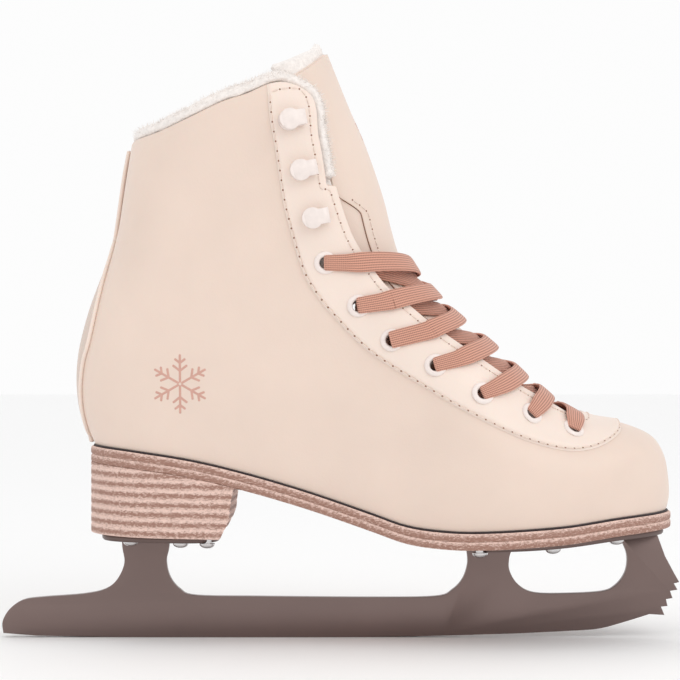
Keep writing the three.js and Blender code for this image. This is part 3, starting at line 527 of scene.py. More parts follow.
def leather(name, c, roughness=0.42):
    """Smooth coated leather with a fine grain and faint mottling."""
    m, tree, shader, coords = start(name, roughness)
    if tree is None:
        return m
    mottle = cloudy(tree, coords, "Object", 28, 4)
    paint(tree, shader, mottle, "Fac", [(0.3, shade(c, 0.965)), (0.7, shade(c, 1.02))])
    grain = add_node(tree, "ShaderNodeTexVoronoi", {"Scale": 1150}, {"Vector": (coords, "Object")})
    slow = cloudy(tree, coords, "Object", 55, 2)
    both = calculate(tree, "MULTIPLY_ADD", (slow, "Fac"), 5.0, (grain, "Distance"))
    bump(tree, shader, both, "Value", 0.06, 0.35)
    shader.inputs["Subsurface Weight"].default_value = 0.04
    shader.inputs["Subsurface Scale"].default_value = 0.003
    return m


def fleece(c):
    """Cropped synthetic fleece."""
    m, tree, shader, coords = start("fleece_pile", 0.95)
    if tree is None:
        return m
    tuft = cloudy(tree, coords, "Object", 520, 5)
    paint(tree, shader, tuft, "Fac", [(0.3, shade(c, 0.86)), (0.65, c)])
    bump(tree, shader, tuft, "Fac", 0.9, 0.7)
    shader.inputs["Sheen Weight"].default_value = 0.4
    return m


def woven(s):
    """Flat braided lace: lengthwise ribs with a herringbone weave. The UV map is in millimetres."""
    m, tree, shader, coords = start("lace_braid", 0.8)
    if tree is None:
        return m
    split = add_node(tree, "ShaderNodeSeparateXYZ", links={0: (coords, "UV")})
    rib = calculate(tree, "MULTIPLY", (split, "X"), 2 * math.pi / RIB_PITCH)
    wave = calculate(tree, "COSINE", (rib, 0))
    bend = calculate(tree, "MULTIPLY", (wave, 0), 0.9)
    run = calculate(tree, "MULTIPLY_ADD", (split, "Y"), 2 * math.pi / STRAND_PITCH, (bend, 0))
    strand = calculate(tree, "SINE", (run, 0))
    height = calculate(tree, "MULTIPLY_ADD", (strand, 0), 0.3, (wave, 0))
    level = add_node(tree, "ShaderNodeMapRange", {"From Min": -1.3, "From Max": 1.3}, {"Value": (height, 0)})
    lace = tuple(s.lace)
    # Painted shade and painted highlight: the colour runs with the weave's height, from the darkened groove colour
    # down between the ribs to a lightened lace colour on their crests.
    stops = [(0.05, tuple(s.lace_groove_shade)), (0.4, shade(lace, 0.85)), (0.9, shade(lace, 1.15))]
    paint(tree, shader, level, "Result", stops)
    bump(tree, shader, level, "Result", 0.28, 0.8)
    shader.inputs["Sheen Weight"].default_value = 0.2
    return m


def stacked(s):
    """Stacked leather board seen on its cut edge, in dark and light bands. The UV map's y is in millimetres."""
    m, tree, shader, coords = start("stacked_leather", 0.62)
    if tree is None:
        return m
    split = add_node(tree, "ShaderNodeSeparateXYZ", links={0: (coords, "UV")})
    stretch = add_node(tree, "ShaderNodeMapping", {"Scale": (0.6, 0.6, 1.4)}, {"Vector": (coords, "Object")})
    grain = cloudy(tree, stretch, 0, 1300, 3, Roughness=0.7)
    wander = cloudy(tree, coords, "Object", 60, 2)
    shifted = calculate(tree, "MULTIPLY_ADD", (wander, "Fac"), 0.5, (split, "Y"))
    turn = calculate(tree, "MULTIPLY", (shifted, 0), 2 * math.pi / LIFT)
    band = calculate(tree, "COSINE", (turn, 0))
    mixed = calculate(tree, "MULTIPLY_ADD", (band, 0), 0.16, (grain, "Fac"))
    dark, light = tuple(s.stack_dark), tuple(s.stack_light)
    between = tuple(mix(np.array(dark), np.array(light), 0.55))
    paint(tree, shader, mixed, "Value", [(0.36, dark), (0.49, between), (0.6, light), (0.72, shade(light, 1.12))])
    bump(tree, shader, mixed, "Value", 0.12, 0.4)
    return m


def steel(name, c, roughness, streak=0.0):
    """Ground or plated steel; streak gives fine grinding lines along X."""
    m, tree, shader, coords = start(name, roughness, 0.92)
    if tree is None:
        return m
    stretch = add_node(tree, "ShaderNodeMapping", {"Scale": (0.04, 1, 1)}, {"Vector": (coords, "Object")})
    lines = cloudy(tree, stretch, 0, 900, 4)
    cloud = cloudy(tree, coords, "Object", 14, 2)
    paint(tree, shader, cloud, "Fac", [(0.3, shade(c, 0.93)), (0.7, shade(c, 1.05))])
    bump(tree, shader, lines, "Fac", 0.02, streak)
    return m


def plain(name, c, roughness, metallic=0.0, fine=600, height=0.03):
    """An even finish with a fine surface grain."""
    m, tree, shader, coords = start(name, roughness, metallic)
    if tree is None:
        return m
    grain = cloudy(tree, coords, "Object", fine, 3)
    paint(tree, shader, grain, "Fac", [(0.25, shade(c, 0.93)), (0.75, shade(c, 1.04))])
    bump(tree, shader, grain, "Fac", height, 0.3)
    return m


# ---- stitches ----
def stitch_row(bm, path, normals, pitch, thread=0.32):
    """Threads along a path on a surface, with a dark disc of painted shade at each needle hole."""
    run = np.concatenate([[0], np.cumsum(np.linalg.norm(np.diff(path, axis=0), axis=1))])
    count = int(run[-1] // pitch)
    if count < 1:
        return
    at, way = along(path), along(normals)
    for k in range(count):
        t0, t1 = (k + 0.12) / count, (k + 0.88) / count
        t = np.linspace(t0, t1, 5)
        points, up = at(t), unit(way(t))
        bow = np.array([-0.25, 0.1, 0.2, 0.1, -0.25])[:, None]
        radius = thread * np.array([0.6, 1, 1, 1, 0.6])
        add_grid(bm, tube(points + up * bow, up, radius, 6), material=0)
        # A dark disc at each needle hole: painted shade inside the hole.
        hole = at((k + 1) / count)
        n = unit(way((k + 1) / count))
        side = unit(np.cross(n, (0.3, 0.1, 1.0)))
        ring = np.array([hole + n * 0.05 + 0.42 * (side * math.cos(a) + np.cross(n, side) * math.sin(a))
                         for a in np.linspace(0, 2 * math.pi, 9)])
        add_grid(bm, np.stack([np.repeat((hole + n * 0.12)[None], 9, 0), ring]), material=1)


def stitches(name, rows, s):
    bm = bmesh.new()
    for path, normals in rows:
        stitch_row(bm, path, normals, s.stitch_pitch / MM)
    close(bm)
    return set_mesh(name, bm, plain("thread", tuple(s.thread), 0.7), plain("hole_and_edge_shade", tuple(s.hole), 0.9))


# ---- operators ----
class Piece:
    """What the operators share."""

    bl_options = {"REGISTER", "UNDO"}

    def execute(self, context):
        self.build(context.scene.skate)
        return {"FINISHED"}


class SKATE_OT_upper(Piece, bpy.types.Operator):
    """Builds the leather upper in one piece, from the sole to the collar and throat."""

    bl_idname = "skate.upper"
    bl_label = "Upper"

    def build(self, s):
        at = shoe_patch(UPPER_RISE, EDGE)
        u = (1 - np.cos(np.linspace(0, math.pi, 171))) / 2
        xz = at(u[None, :], np.linspace(0, 1, 64)[:, None])
        points, normals = both_sides(xz[..., 0], xz[..., 1], 1)
        grid = slab(points, points - normals * s.upper_thickness / MM, False)
        obj = grid_object("upper", [grid], leather("cream_leather", tuple(s.leather)),
                          gone=[near_axes(grid, eyelet_axes(), EYELET_ROOM + 0.2)])
        give(obj, "boot", "upper_leather", "upper_outer", "upper_inner")


class SKATE_OT_facings(Piece, bpy.types.Operator):
    """Builds the facings with their eyelet holes and edge stitching."""

    bl_idname = "skate.facings"
    bl_label = "Facings"

    def build(self, s):
        at = facing_patch()
        t = np.sin(np.linspace(0, math.pi / 2, 241))
        share = np.linspace(0, 1, 30)
        xz = at(share[:, None], t[None, :])
        points, normals = both_sides(xz[..., 0], xz[..., 1], 1)

        def rise(at_share):
            """Height of the facing's face over the skin, thinned towards its rear edge."""
            return SKIN_GAP + s.facing_thickness / MM * smooth(-0.02, 0.09, at_share)

        height = rise(share)[:, None, None]
        grid = slab(points + normals * height, points + normals * SKIN_GAP, True)
        obj = grid_object("facings", [grid], leather("facing_leather", tuple(s.facing)),
                          gone=[near_axes(grid, eyelet_axes(), EYELET_ROOM)])
        give(obj, "boot", "overlay_leather", "facing_outer", "facing_inner")
        wide = np.linalg.norm(xz[-1] - xz[0], axis=-1)
        inset = np.clip(s.stitch_inset / MM / np.maximum(wide, 1), 0.02, 0.4)
        rows = []
        for row in (inset * 0.3, 1 - inset):
            line = at(row[2:], t[2:])
            p, n = both_sides(line[None, :, 0], line[None, :, 1], 1)
            rows.append((p[0] + n[0] * rise(row[2]), n[0]))
        reach = np.linspace(inset[0] * 0.3, 1 - inset[0], 30)
        for side in (-1, 1):
            line = at(reach, np.full(30, 0.013))
            rows.append(on_skin(line[:, 0], line[:, 1], side, rise(1)))
        give(stitches("facing_stitches", rows, s), "boot", "overlay_leather")


class SKATE_OT_backstay(Piece, bpy.types.Operator):
    """Builds the backstay and the piping along both its edges."""

    bl_idname = "skate.backstay"
    bl_label = "Backstay"

    def build(self, s):
        above_sole = BACKSTAY[:, 1] > sole_top(BACKSTAY[:, 0]) + UPPER_RISE + 0.5
        edge = BACKSTAY[above_sole & (BACKSTAY[:, 1] < 216.5)]
        back = on_profile(BACK, edge[0, 1], edge[-1, 1], 80)
        at = patch(np.stack([back[0], edge[0]]), np.stack([back[-1], edge[-1]]), back, edge)
        share = np.linspace(0, 1, 12) ** 2
        xz = at(share[::-1][:, None], np.linspace(0, 1, 90)[None, :])
        points, normals = both_sides(xz[..., 0], xz[..., 1], 0)
        top = SKIN_GAP + s.facing_thickness / MM * 0.8
        grid = slab(points + normals * top, points + normals * SKIN_GAP, True)
        # The backstay is a darker copy of the upper's leather: painted shade on the heel's back, which faces away
        # from the key light.
        obj = grid_object("backstay_strip", [grid], leather("backstay_leather_painted_shade", shade(tuple(s.leather), 0.84)))
        give(obj, "boot", "overlay_leather", "backstay")
        cords = []
        for side in (-1, 1):
            line = along(edge)(np.linspace(0, 1, 90))
            p, n = on_skin(line[:, 0], line[:, 1], side, 0.7)
            cords.append(tube(p, n, s.piping_radius / MM, 10))
        obj = grid_object("backstay_piping", cords, leather("facing_leather", tuple(s.facing)))
        give(obj, "boot", "overlay_leather")


def fleece_edge():
    """Side-view line of the fleece's free edge from the back to the throat."""
    collar = trimmed(COLLAR, BACK, -1)
    rise = np.where(collar[:, :1] < 24, (0, 3.4), (3.0, 1.6))
    raised = collar + rise
    raised[0, 0] = np.interp(raised[0, 1], BACK[:, 1], BACK[:, 0])
    keep = along(raised)(np.linspace(0, 1, 40))
    return spline(keep[::2], 140)


class SKATE_OT_lining(Piece, bpy.types.Operator):
    """Builds the fleece lining, its rolled edge and its fibres."""

    bl_idname = "skate.lining"
    bl_label = "Fleece lining"

    def build(self, s):
        pile = fleece(tuple(s.fleece))
        edge = fleece_edge()
        free = trimmed(np.vstack([edge, LINING_FRONT]), FRONT, 1)
        at = shoe_patch(4.4, free)
        u = (1 - np.cos(np.linspace(0, math.pi, 131))) / 2
        xz = at(u[None, :], np.linspace(0, 1, 60)[:, None])
        points, normals = both_sides(xz[..., 0], xz[..., 1], 1)
        ripple = np.array([[noise.noise(Vector(p) * 0.35) for p in row] for row in points])[..., None]
        grid = slab(points - normals * 3.5, points - normals * (5.9 + 0.5 * ripple), False)
        lining = grid_object("fleece_lining", [grid], pile)
        give(lining, "boot", "fleece", "lining")
        radius = s.fleece_roll / MM
        rolls, roots, ways = [], [], []
        for side in (-1, 1):
            line = along(edge)(np.linspace(0, 1, 220))
            p, n = on_skin(line[:, 0], line[:, 1], side, -2.6)
            bulge = np.array([noise.noise(Vector(q) * 0.25) for q in p])
            rolls.append(tube(p, n, radius * (1 + 0.16 * bulge), 16))
            up = np.tile((0.25, 0.0, 1.0), (len(p), 1))
            up[line[:, 0] > 30] = (1.0, 0.0, 0.3)
            count = 2600
            pick = RANDOM.integers(0, len(p), count)
            ahead = up[pick] * RANDOM.uniform(0.3, 1, (count, 1))
            across = n[pick] * RANDOM.uniform(-0.9, 1.1, (count, 1))
            spread = unit(ahead + across + RANDOM.normal(0, 0.25, (count, 3)))
            scatter = RANDOM.normal(0, 0.5, (count, 3)) * (1, 0.2, 0.2)
            roots.append(p[pick] + spread * radius * 0.8 + scatter)
            ways.append(spread)
        roll = grid_object("collar_roll", rolls, pile)
        give(roll, "boot", "fleece")
        hair = fibres("collar_fibres", np.vstack(roots), np.vstack(ways), s, pile)
        give(hair, "boot", "fleece")


def fibres(name, roots, ways, s, material):
    """Fine tapered fibres standing out of a pile."""
    bm = bmesh.new()
    length = s.fibre_length / MM
    side = unit(np.cross(ways, RANDOM.normal(0, 1, ways.shape)))
    bend = unit(ways + RANDOM.normal(0, 0.45, ways.shape))
    reach = length * RANDOM.uniform(0.4, 1.1, (len(roots), 1))
    mids = roots + ways * reach * 0.5
    tips = mids + bend * reach * 0.6
    for root, mid, tip, w in zip(roots, mids, tips, side * 0.11):
        v = [bm.verts.new(Vector(q) * MM) for q in (root - w, root + w, mid + w * 0.8, mid - w * 0.8, tip)]
        bm.faces.new(v[:4])
        bm.faces.new((v[3], v[2], v[4]))
    return set_mesh(name, bm, material, sharp=180)


# ---- tongue ----
def ring_point(index, turn):
    """Side-view point of a level line; turn is pi at the front. Levels past the top run on straight."""
    index = np.asarray(index, float)
    last = len(LEVELS) - 1
    inside = spline_at(LEVELS, np.minimum(index, last))
    beyond = np.maximum(index - last, 0)[..., None] * (LEVELS[-1] - LEVELS[-2])
    at = inside + beyond
    t = (1 - np.cos(turn)) / 2
    return mix(at[..., 2], at[..., 0], t), mix(at[..., 3], at[..., 1], t)


def across_front(index, y):
    """Skin points at level indices and signed distances across from the middle."""
    index, y = np.broadcast_arrays(np.asarray(index, float), np.asarray(y, float))
    low, high = np.full(y.shape, math.pi / 2), np.full(y.shape, math.pi)
    for _ in range(22):
        turn = (low + high) / 2
        wide = squared(*ring_point(index, turn)) > y * y
        low, high = np.where(wide, turn, low), np.where(wide, high, turn)
    x, z = ring_point(index, low)
    outer, inner = on_skin(x, z, -1), on_skin(x, z, 1)
    pick = (y < 0)[..., None]
    return np.where(pick, outer[0], inner[0]), np.where(pick, outer[1], inner[1])


def tongue_grid(low, wide, top):
    """Skin points and normals over the tongue: rows across, columns from the toe end to the top."""
    a = np.linspace(-1, 1, 45)[:, None]
    b = np.linspace(0, 1, 110)[None, :]
    index = mix(low, top - CROWN * np.abs(a) ** 1.5, b)
    return across_front(index, a * wide(index))


def tongue_width(index):
    """Half width of the tongue at a level."""
    return np.interp(index, (6, 8, 12, 15, 16.0, 16.6, 17.3), (30, 33, 35.5, 36, 36.5, 38, 38.5))


class SKATE_OT_tongue(Piece, bpy.types.Operator):
    """Builds the padded tongue, its leather face, its shaped panel and the stitching."""

    bl_idname = "skate.tongue"
    bl_label = "Tongue"

    def build(self, s):
        skin, normals = tongue_grid(6.6, tongue_width, 17.22)
        pile = fleece(tuple(s.fleece))
        cream = leather("cream_leather", tuple(s.leather))
        sheet = slab(skin - normals * PAD_DEPTH, skin - normals * 10.9, True)
        body = grid_object("tongue_padding", [sheet], pile)
        flex(body, "fleece", "tongue_lower", "tongue_upper")
        skin, normals = tongue_grid(6.6, lambda i: tongue_width(i) - 0.6, 17.0)
        sheet = slab(skin - normals * FACE_DEPTH, skin - normals * (PAD_DEPTH + 0.1), True)
        flex(grid_object("tongue_face", [sheet], cream), "tongue_leather")

        def panel_width(index):
            """Half width of the panel, wide above its shoulders."""
            return mix(27.5, tongue_width(index) - 1.2, smooth(13.35, 13.95, index))

        skin, normals = tongue_grid(9.5, panel_width, 16.99)
        sheet = slab(skin - normals * COVER_DEPTH, skin - normals * FACE_DEPTH, True)
        flex(grid_object("tongue_cover", [sheet], cream), "tongue_leather", "tongue_panel")
        rows, edge_shadows = [], []
        for side in (-1, 1):
            index = np.linspace(10, 13.75, 80)
            p, n = across_front(index, side * (panel_width(index) - 2.6))
            rows.append((p - n * COVER_DEPTH, n))
            # A thin dark cord on the face just outside the panel's edge: painted shadow of the panel's edge.
            p, n = across_front(index, side * (panel_width(index) + 0.15))
            edge_shadows.append(tube(p - n * 6.1, n, 0.35, 8))
        flex(stitches("tongue_stitches", rows, s), "tongue_leather")
        painted_edge_shadow = plain("hole_and_edge_shade", tuple(s.hole), 0.9)
        flex(grid_object("tongue_edge_shadow", edge_shadows, painted_edge_shadow), "tongue_leather")
        a = np.linspace(-1, 1, 160)
        index = 17.12 - CROWN * np.abs(a) ** 1.5
        p, n = across_front(index, a * tongue_width(index))
        count = 2400
        pick = RANDOM.integers(0, len(p), count)
        up = np.array((-0.25, 0, 1.0)) * RANDOM.uniform(0.2, 1, (count, 1))
        inwards = n[pick] * RANDOM.uniform(0, 1.2, (count, 1))
        spread = unit(up - inwards + RANDOM.normal(0, 0.25, (count, 3)))
        roots = p[pick] - n[pick] * RANDOM.uniform(7.2, 11, (count, 1)) - np.array((0, 0, 0.5))
        flex(fibres("tongue_fibres", roots, spread, s, pile), "fleece")


# ---- lace ----
def above(points):
    """Skin point and normal found out towards the throat from points inside the boot, level at the ankle."""
    x, y, z = points.T
    e = 0.5
    d = distance(FRONT, x, z, 1)
    out = -unit(np.stack([distance(FRONT, x + e, z, 1) - d, distance(FRONT, x, z + e, 1) - d], 1))
    aim = np.stack([np.ones(len(x)), 0.16 - 0.2 * smooth(138, 156, z)], 1)
    out = unit(mix(out, aim, 0.9 * smooth(85, 112, z)[:, None]))
    low, high = np.zeros(len(x)), d + 30
    for _ in range(24):
        half = (low + high) / 2
        px, pz = x + out[:, 0] * half, z + out[:, 1] * half
        beyond = squared(px, pz) < (y - middle(px)) ** 2
        low, high = np.where(beyond, low, half), np.where(beyond, half, high)
    px, pz = x + out[:, 0] * low, z + out[:, 1] * low
    gx = (squared(px + e, pz) - squared(px - e, pz)) / (2 * e)
    gz = (squared(px, pz + e) - squared(px, pz - e)) / (2 * e)
    normal = unit(np.stack([-gx / 2, y - middle(px), -gz / 2], 1))
    return np.stack([px, y, pz], 1), normal


def in_throat(points):
    """Which points lie in front of the facings' free edge in the side view."""
    shape = np.vstack([THROAT, [(152.5, 200), (120, 320), (38, 320)]])
    x, z = points[:, 0], points[:, 2]
    inside = np.zeros(len(x), bool)
    for (ax, az), (bx, bz) in zip(shape, np.roll(shape, -1, 0)):
        crossing = ((az > z) != (bz > z)) & (x < ax + (z - az) / (bz - az + 1e-12) * (bx - ax))
        inside ^= crossing
    return inside


def ribbon(path, normals, width, thick):
    """A flat lace along a path: grid and its UV map in millimetres."""
    half_round = 14
    tangent = unit(np.gradient(path, axis=0))
    side = unit(np.cross(tangent, normals))
    up = np.cross(side, tangent)
    run = np.concatenate([[0], np.cumsum(np.linalg.norm(np.diff(path, axis=0), axis=1))])
    rows, uv = [], []
    for k in range(2 * half_round + 1):
        a = 2 * math.pi * k / (2 * half_round)
        c, q = math.cos(a), math.sin(a)
        flatness = math.copysign(abs(c) ** 0.55, c)
        belly = math.copysign(abs(q) ** 0.55, q)
        rows.append(path + side * (width / 2)[:, None] * flatness + up * (thick / 2)[:, None] * belly)
        uv.append(np.stack([flatness * 4.2 * np.ones(len(path)), run], 1))
    uv = np.array(uv)
    return capped(np.array(rows)), np.concatenate([uv[:, :1], uv, uv[:, -1:]], 1)


def lace_strip(start_at, end_at, side, width, thick, tucked=False):
    """One length of lace: out of an eyelet, over the tongue, under the far facing and up to the next."""
    a, na = on_skin(*start_at, side)
    b, nb = on_skin(*end_at, -side)
    steps = (np.arange(80) + 0.5) / 80
    inside = in_throat(above(a + (b - a) * steps[:, None])[0])
    near, far = steps[inside][0], steps[inside][-1]
    over, under, tongue = 3.1, -3.6, -4.6
    lift = 0.75 if side < 0 else -0.2
    plan = [  # share of the way, height over the skin, width
        (0.0, -2.0, 0.48), (0.0, -0.2, 0.55), (0.0, 1.7, 0.66), (near * 0.25, 3.0, 0.86), (near * 0.6, over + 0.2, 1),
        (near, over, 1), (mix(near, 0.5, 0.35), 1.2, 1), (mix(near, 0.5, 0.7), tongue + 3.0 + lift, 1),
        (0.5, tongue + 1.4 + lift, 1), (mix(0.5, far, 0.35), tongue + 0.6, 1), (mix(0.5, far, 0.7), tongue + 0.3, 1),
        (far, under, 1)]
    if tucked:
        plan += [(mix(far, 1, 0.6), under, 1)]
    else:
        plan += [(mix(far, 1, 0.5), under - 0.2, 0.8), (1.0, under - 0.2, 0.4), (1.0, -1.2, 0.35)]
    plan = np.array(plan)
    fine = spline(plan, 9 * (len(plan) - 1))
    share = np.clip(fine[:, 0], 0, 1)
    point, normal = above(a + (b - a) * share[:, None])
    for mask, p, n in ((share < 0.01, a, na), (share > 0.99, b, nb)):
        point[mask], normal[mask] = p, n
    blendable = np.clip(share / max(near, 0.02), 0, 1)[:, None]
    normal = unit(mix(na, normal, blendable))
    path = point + normal * fine[:, 1:2]
    for _ in range(3):
        path[1:-1] = (path[:-2] + 2 * path[1:-1] + path[2:]) / 4
    return ribbon(path, normal, np.clip(fine[:, 2], 0.3, 1) * width, np.full(len(path), thick))


class SKATE_OT_lace(Piece, bpy.types.Operator):
    """Builds the flat ribbed lace, crossed over the tongue from eyelet to eyelet."""

    bl_idname = "skate.lace"
    bl_label = "Lace"

    def build(self, s):
        width, thick = s.lace_width / MM, s.lace_thickness / MM
        grids, uvs = [], []
        for side in (-1, 1):
            for k in range(len(EYELETS) - 1, 0, -1):
                g, uv = lace_strip(EYELETS[k], EYELETS[k - 1], side, width, thick)
                grids.append(g)
                uvs.append(uv)
            g, uv = lace_strip(EYELETS[0], (38, 165), side, width, thick, True)
            grids.append(g)
            uvs.append(uv)
        ends = [on_skin(*EYELETS[-1], side)[0] for side in (-1, 1)]
        share = np.linspace(0, 1, 40)
        point, normal = above(ends[0] + (ends[1] - ends[0]) * np.clip(share, 0.01, 0.99)[:, None])
        g, uv = ribbon(point - normal * 3.4, normal, np.full(40, width * 0.7), np.full(40, thick))
        obj = grid_object("flat_lace", [*grids, g], woven(s), uvs=[*uvs, uv], sharp=70)
        give(obj, "boot", "lace", "lace")


# ---- eyelets, hooks, screws ----
def spun(points, steps=40):
    """A bmesh turned from (radius, height) points in millimetres round Z."""
    bm = bmesh.new()
    verts = [bm.verts.new((r * MM, 0, z * MM)) for r, z in points]
    edges = [bm.edges.new(pair) for pair in zip(verts, verts[1:])]
    bmesh.ops.spin(bm, geom=[*verts, *edges], cent=(0, 0, 0), axis=(0, 0, 1), angle=2 * math.pi,
                   steps=steps, use_merge=True, use_duplicate=False)
    close(bm)
    return bm


class SKATE_OT_eyelets(Piece, bpy.types.Operator):
    """Builds the enamelled eyelets."""

    bl_idname = "skate.eyelets"
    bl_label = "Eyelets"

    def build(self, s):
        enamel = plain("pale_enamel", tuple(s.enamel), 0.28, 0.0, 300, 0.01)
        bore, flange = s.eyelet_bore / MM / 2, s.eyelet_flange / MM / 2
        ring = [(bore, -2.7), (bore + 0.5, -2.7), (bore + 0.5, 1.3), (flange, 1.35), (flange - 0.05, 1.75),
                (flange - 0.5, 2.1), (mix(bore, flange, 0.5), 2.35), (bore + 0.45, 2.2), (bore + 0.1, 1.8),
                (bore, 1.2), (bore, -2.7)]
        for side, word in ((-1, "outer"), (1, "inner")):
            for k, (x, z) in enumerate(EYELETS):
                bm = spun(ring)
                bmesh.ops.transform(bm, matrix=seat(x, z, side), verts=bm.verts)
                obj = set_mesh(f"eyelet_ring_{word}_{k + 1}", bm, enamel, sharp=60)
                give(obj, "boot", "enamel", f"eyelet_{word}_{k + 1}")


class SKATE_OT_hooks(Piece, bpy.types.Operator):
    """Builds the folded lace hooks."""

    bl_idname = "skate.hooks"
    bl_label = "Hooks"

    def build(self, s):
        enamel = plain("pale_enamel", tuple(s.enamel), 0.28, 0.0, 300, 0.01)
        radius = s.hook_disc / MM / 2
        neck, reach, low, high = 3.3, 6.9, 1.8, 6.2  # half width, length, and heights of the two leaves
        bend = (high - low) / 2
        leaf = -radius * np.cos(np.linspace(0.12, math.pi / 2, 9))
        straight = np.linspace(0.6, reach - bend, 6)
        turn = np.linspace(-math.pi / 2, math.pi / 2, 11)
        x = np.concatenate([leaf, straight, reach - bend + bend * np.cos(turn)[1:-1], straight[::-1], leaf[::-1]])
        z = np.concatenate([np.full(15, low), (low + high) / 2 + bend * np.sin(turn)[1:-1], np.full(15, high)])
        disc = np.sqrt(np.maximum(radius**2 - x**2, 0.02))
        wide = np.where(x < 0, disc, np.maximum(disc, neck))
        path = np.stack([x, np.zeros_like(x), z], 1)
        tangent = unit(np.gradient(path, axis=0))
        up = np.cross(tangent, (0, 1, 0))
        section = [(-1, -0.6), (-0.94, -1), (0.94, -1), (1, -0.6), (1, 0.6), (0.94, 1), (-0.94, 1), (-1, 0.6),
                   (-1, -0.6)]
        half_thick = 0.45
        rows = [path + np.outer(wide * u, (0, 1, 0)) + up * half_thick * v for u, v in section]
        grid = capped(np.array(rows))
        for side, word in ((-1, "outer"), (1, "inner")):
            for k, (px, pz) in enumerate(HOOKS):
                bm = bmesh.new()
                add_grid(bm, grid)
                close(bm)
                rivet = spun([(0, -2), (1.6, -2), (1.6, 1.6), (2.2, 2.3), (1.7, 2.9), (0, 3.1)], 20)
                mesh = bpy.data.meshes.new("rivet")
                rivet.to_mesh(mesh)
                rivet.free()
                bm.from_mesh(mesh)
                bpy.data.meshes.remove(mesh)
                bmesh.ops.transform(bm, matrix=seat(px, pz, side, (0.97, 0, 0.2)), verts=bm.verts)
                obj = set_mesh(f"lace_hook_{word}_{k + 1}", bm, enamel, sharp=50)
                give(obj, "boot", "enamel", f"hook_{word}_{k + 1}")


SOLE_SCREWS = [(105, 24), (136.5, 24), (165, 16)]
HEEL_SCREWS = [(-47, 14), (-25, 17), (-13.5, 17)]


HEEL_SLOPE = 0.021


def heel_bottom(x):
    """Height of the heel's underside."""
    return 46.05 - HEEL_SLOPE * (x + 7.5)


class SKATE_OT_screws(Piece, bpy.types.Operator):
    """Builds the domed screws under the sole and heel plates."""

    bl_idname = "skate.screws"
    bl_label = "Screws"

    def build(self, s):
        bright = steel("plated_steel", tuple(s.screw), 0.2)
        r = s.screw_head / MM / 2
        dome = [(r * math.cos(a), -0.3 - 0.25 - 2.0 * math.sin(a)) for a in np.linspace(0, math.pi / 2 - 0.42, 9)]
        rim = dome[-1]
        shape = [(0, 6), (1.9, 5.5), (1.9, -0.3), (r, -0.3), *dome, (rim[0] * 0.45, rim[1] - 0.12),
                 (rim[0] * 0.3, rim[1] + 0.75), (0, rim[1] + 1.0)]
        places = []
        for x, y in SOLE_SCREWS:
            slope = (sole_top(x + 2) - sole_top(x - 2)) / 4
            places += [("sole", x, y * side, sole_top(x) - 9.6, -math.atan(slope)) for side in (-1, 1)]
        for x, y in HEEL_SCREWS:
            places += [("heel", x, y * side, heel_bottom(x) - 2.7, HEEL_SLOPE) for side in (-1, 1)]
        for k, (plate, x, y, z, tilt) in enumerate(places):
            bm = spun(shape, 28)
            place = Matrix.Translation(Vector((x, y, z)) * MM) @ Matrix.Rotation(tilt, 4, "Y")
            bmesh.ops.transform(bm, matrix=place, verts=bm.verts)
            obj = set_mesh(f"{plate}_plate_screw_{k % 6 + 1}", bm, bright, sharp=45)
            give(obj, "boot", "screws", f"{plate}_screw_{k % 6 + 1}")


# ---- sole and heel ----
OUTLINE_POINTS = 220


def sole_outline(margin, count=OUTLINE_POINTS):
    """Plan outline of the sole: the boot's lowest line moved outwards. Points k and count-k face each other."""
    turn = np.arange(count) / count * 2 * math.pi
    t = (1 - np.cos(turn)) / 2
    x = mix(LEVELS[0, 2], LEVELS[0, 0], t)
    half = np.sqrt(np.maximum(squared(x, sole_top(x)), 0))
    y = middle(x) - np.sign(np.sin(turn)) * half
    ring = np.stack([x, y], 1)
    step = np.roll(ring, -1, 0) - np.roll(ring, 1, 0)
    for _ in range(2):
        step = (np.roll(step, -1, 0) + 2 * step + np.roll(step, 1, 0)) / 4
    out = unit(np.stack([step[:, 1], -step[:, 0]], 1))
    if (out * (ring - ring.mean(0))).sum() < 0:
        out = -out
    return ring + out * margin


def ply(low, high, margins, reach):
    """Grid and UV of a closed sole layer: rows rise from the bottom's middle to the top's middle."""
    rows, uv = [], []
    count = OUTLINE_POINTS
    for share, inset in margins:
        ring = sole_outline(reach - inset)
        z = sole_top(ring[:, 0]) + mix(low, high, share)
        rows.append(np.stack([ring[:, 0], ring[:, 1], z], 1))
        uv.append(np.stack([np.arange(count) * 3.0, np.full(count, 1.2 + share * 2.2)], 1))
    fold = (count - np.arange(count)) % count
    mid = [(r + r[fold]) / 2 for r in (rows[0], rows[-1])]
    rows = [mid[0], *rows, mid[1]]
    uv = [uv[0], *uv, uv[-1]]
    grid, uv = np.array(rows), np.array(uv)
    return np.concatenate([grid, grid[:, :1]], 1), np.concatenate([uv, uv[:, -1:]], 1)


SOFT_EDGE = [(0, 0.45), (0.12, 0.1), (0.3, 0), (0.7, 0), (0.88, 0.1), (1, 0.45)]


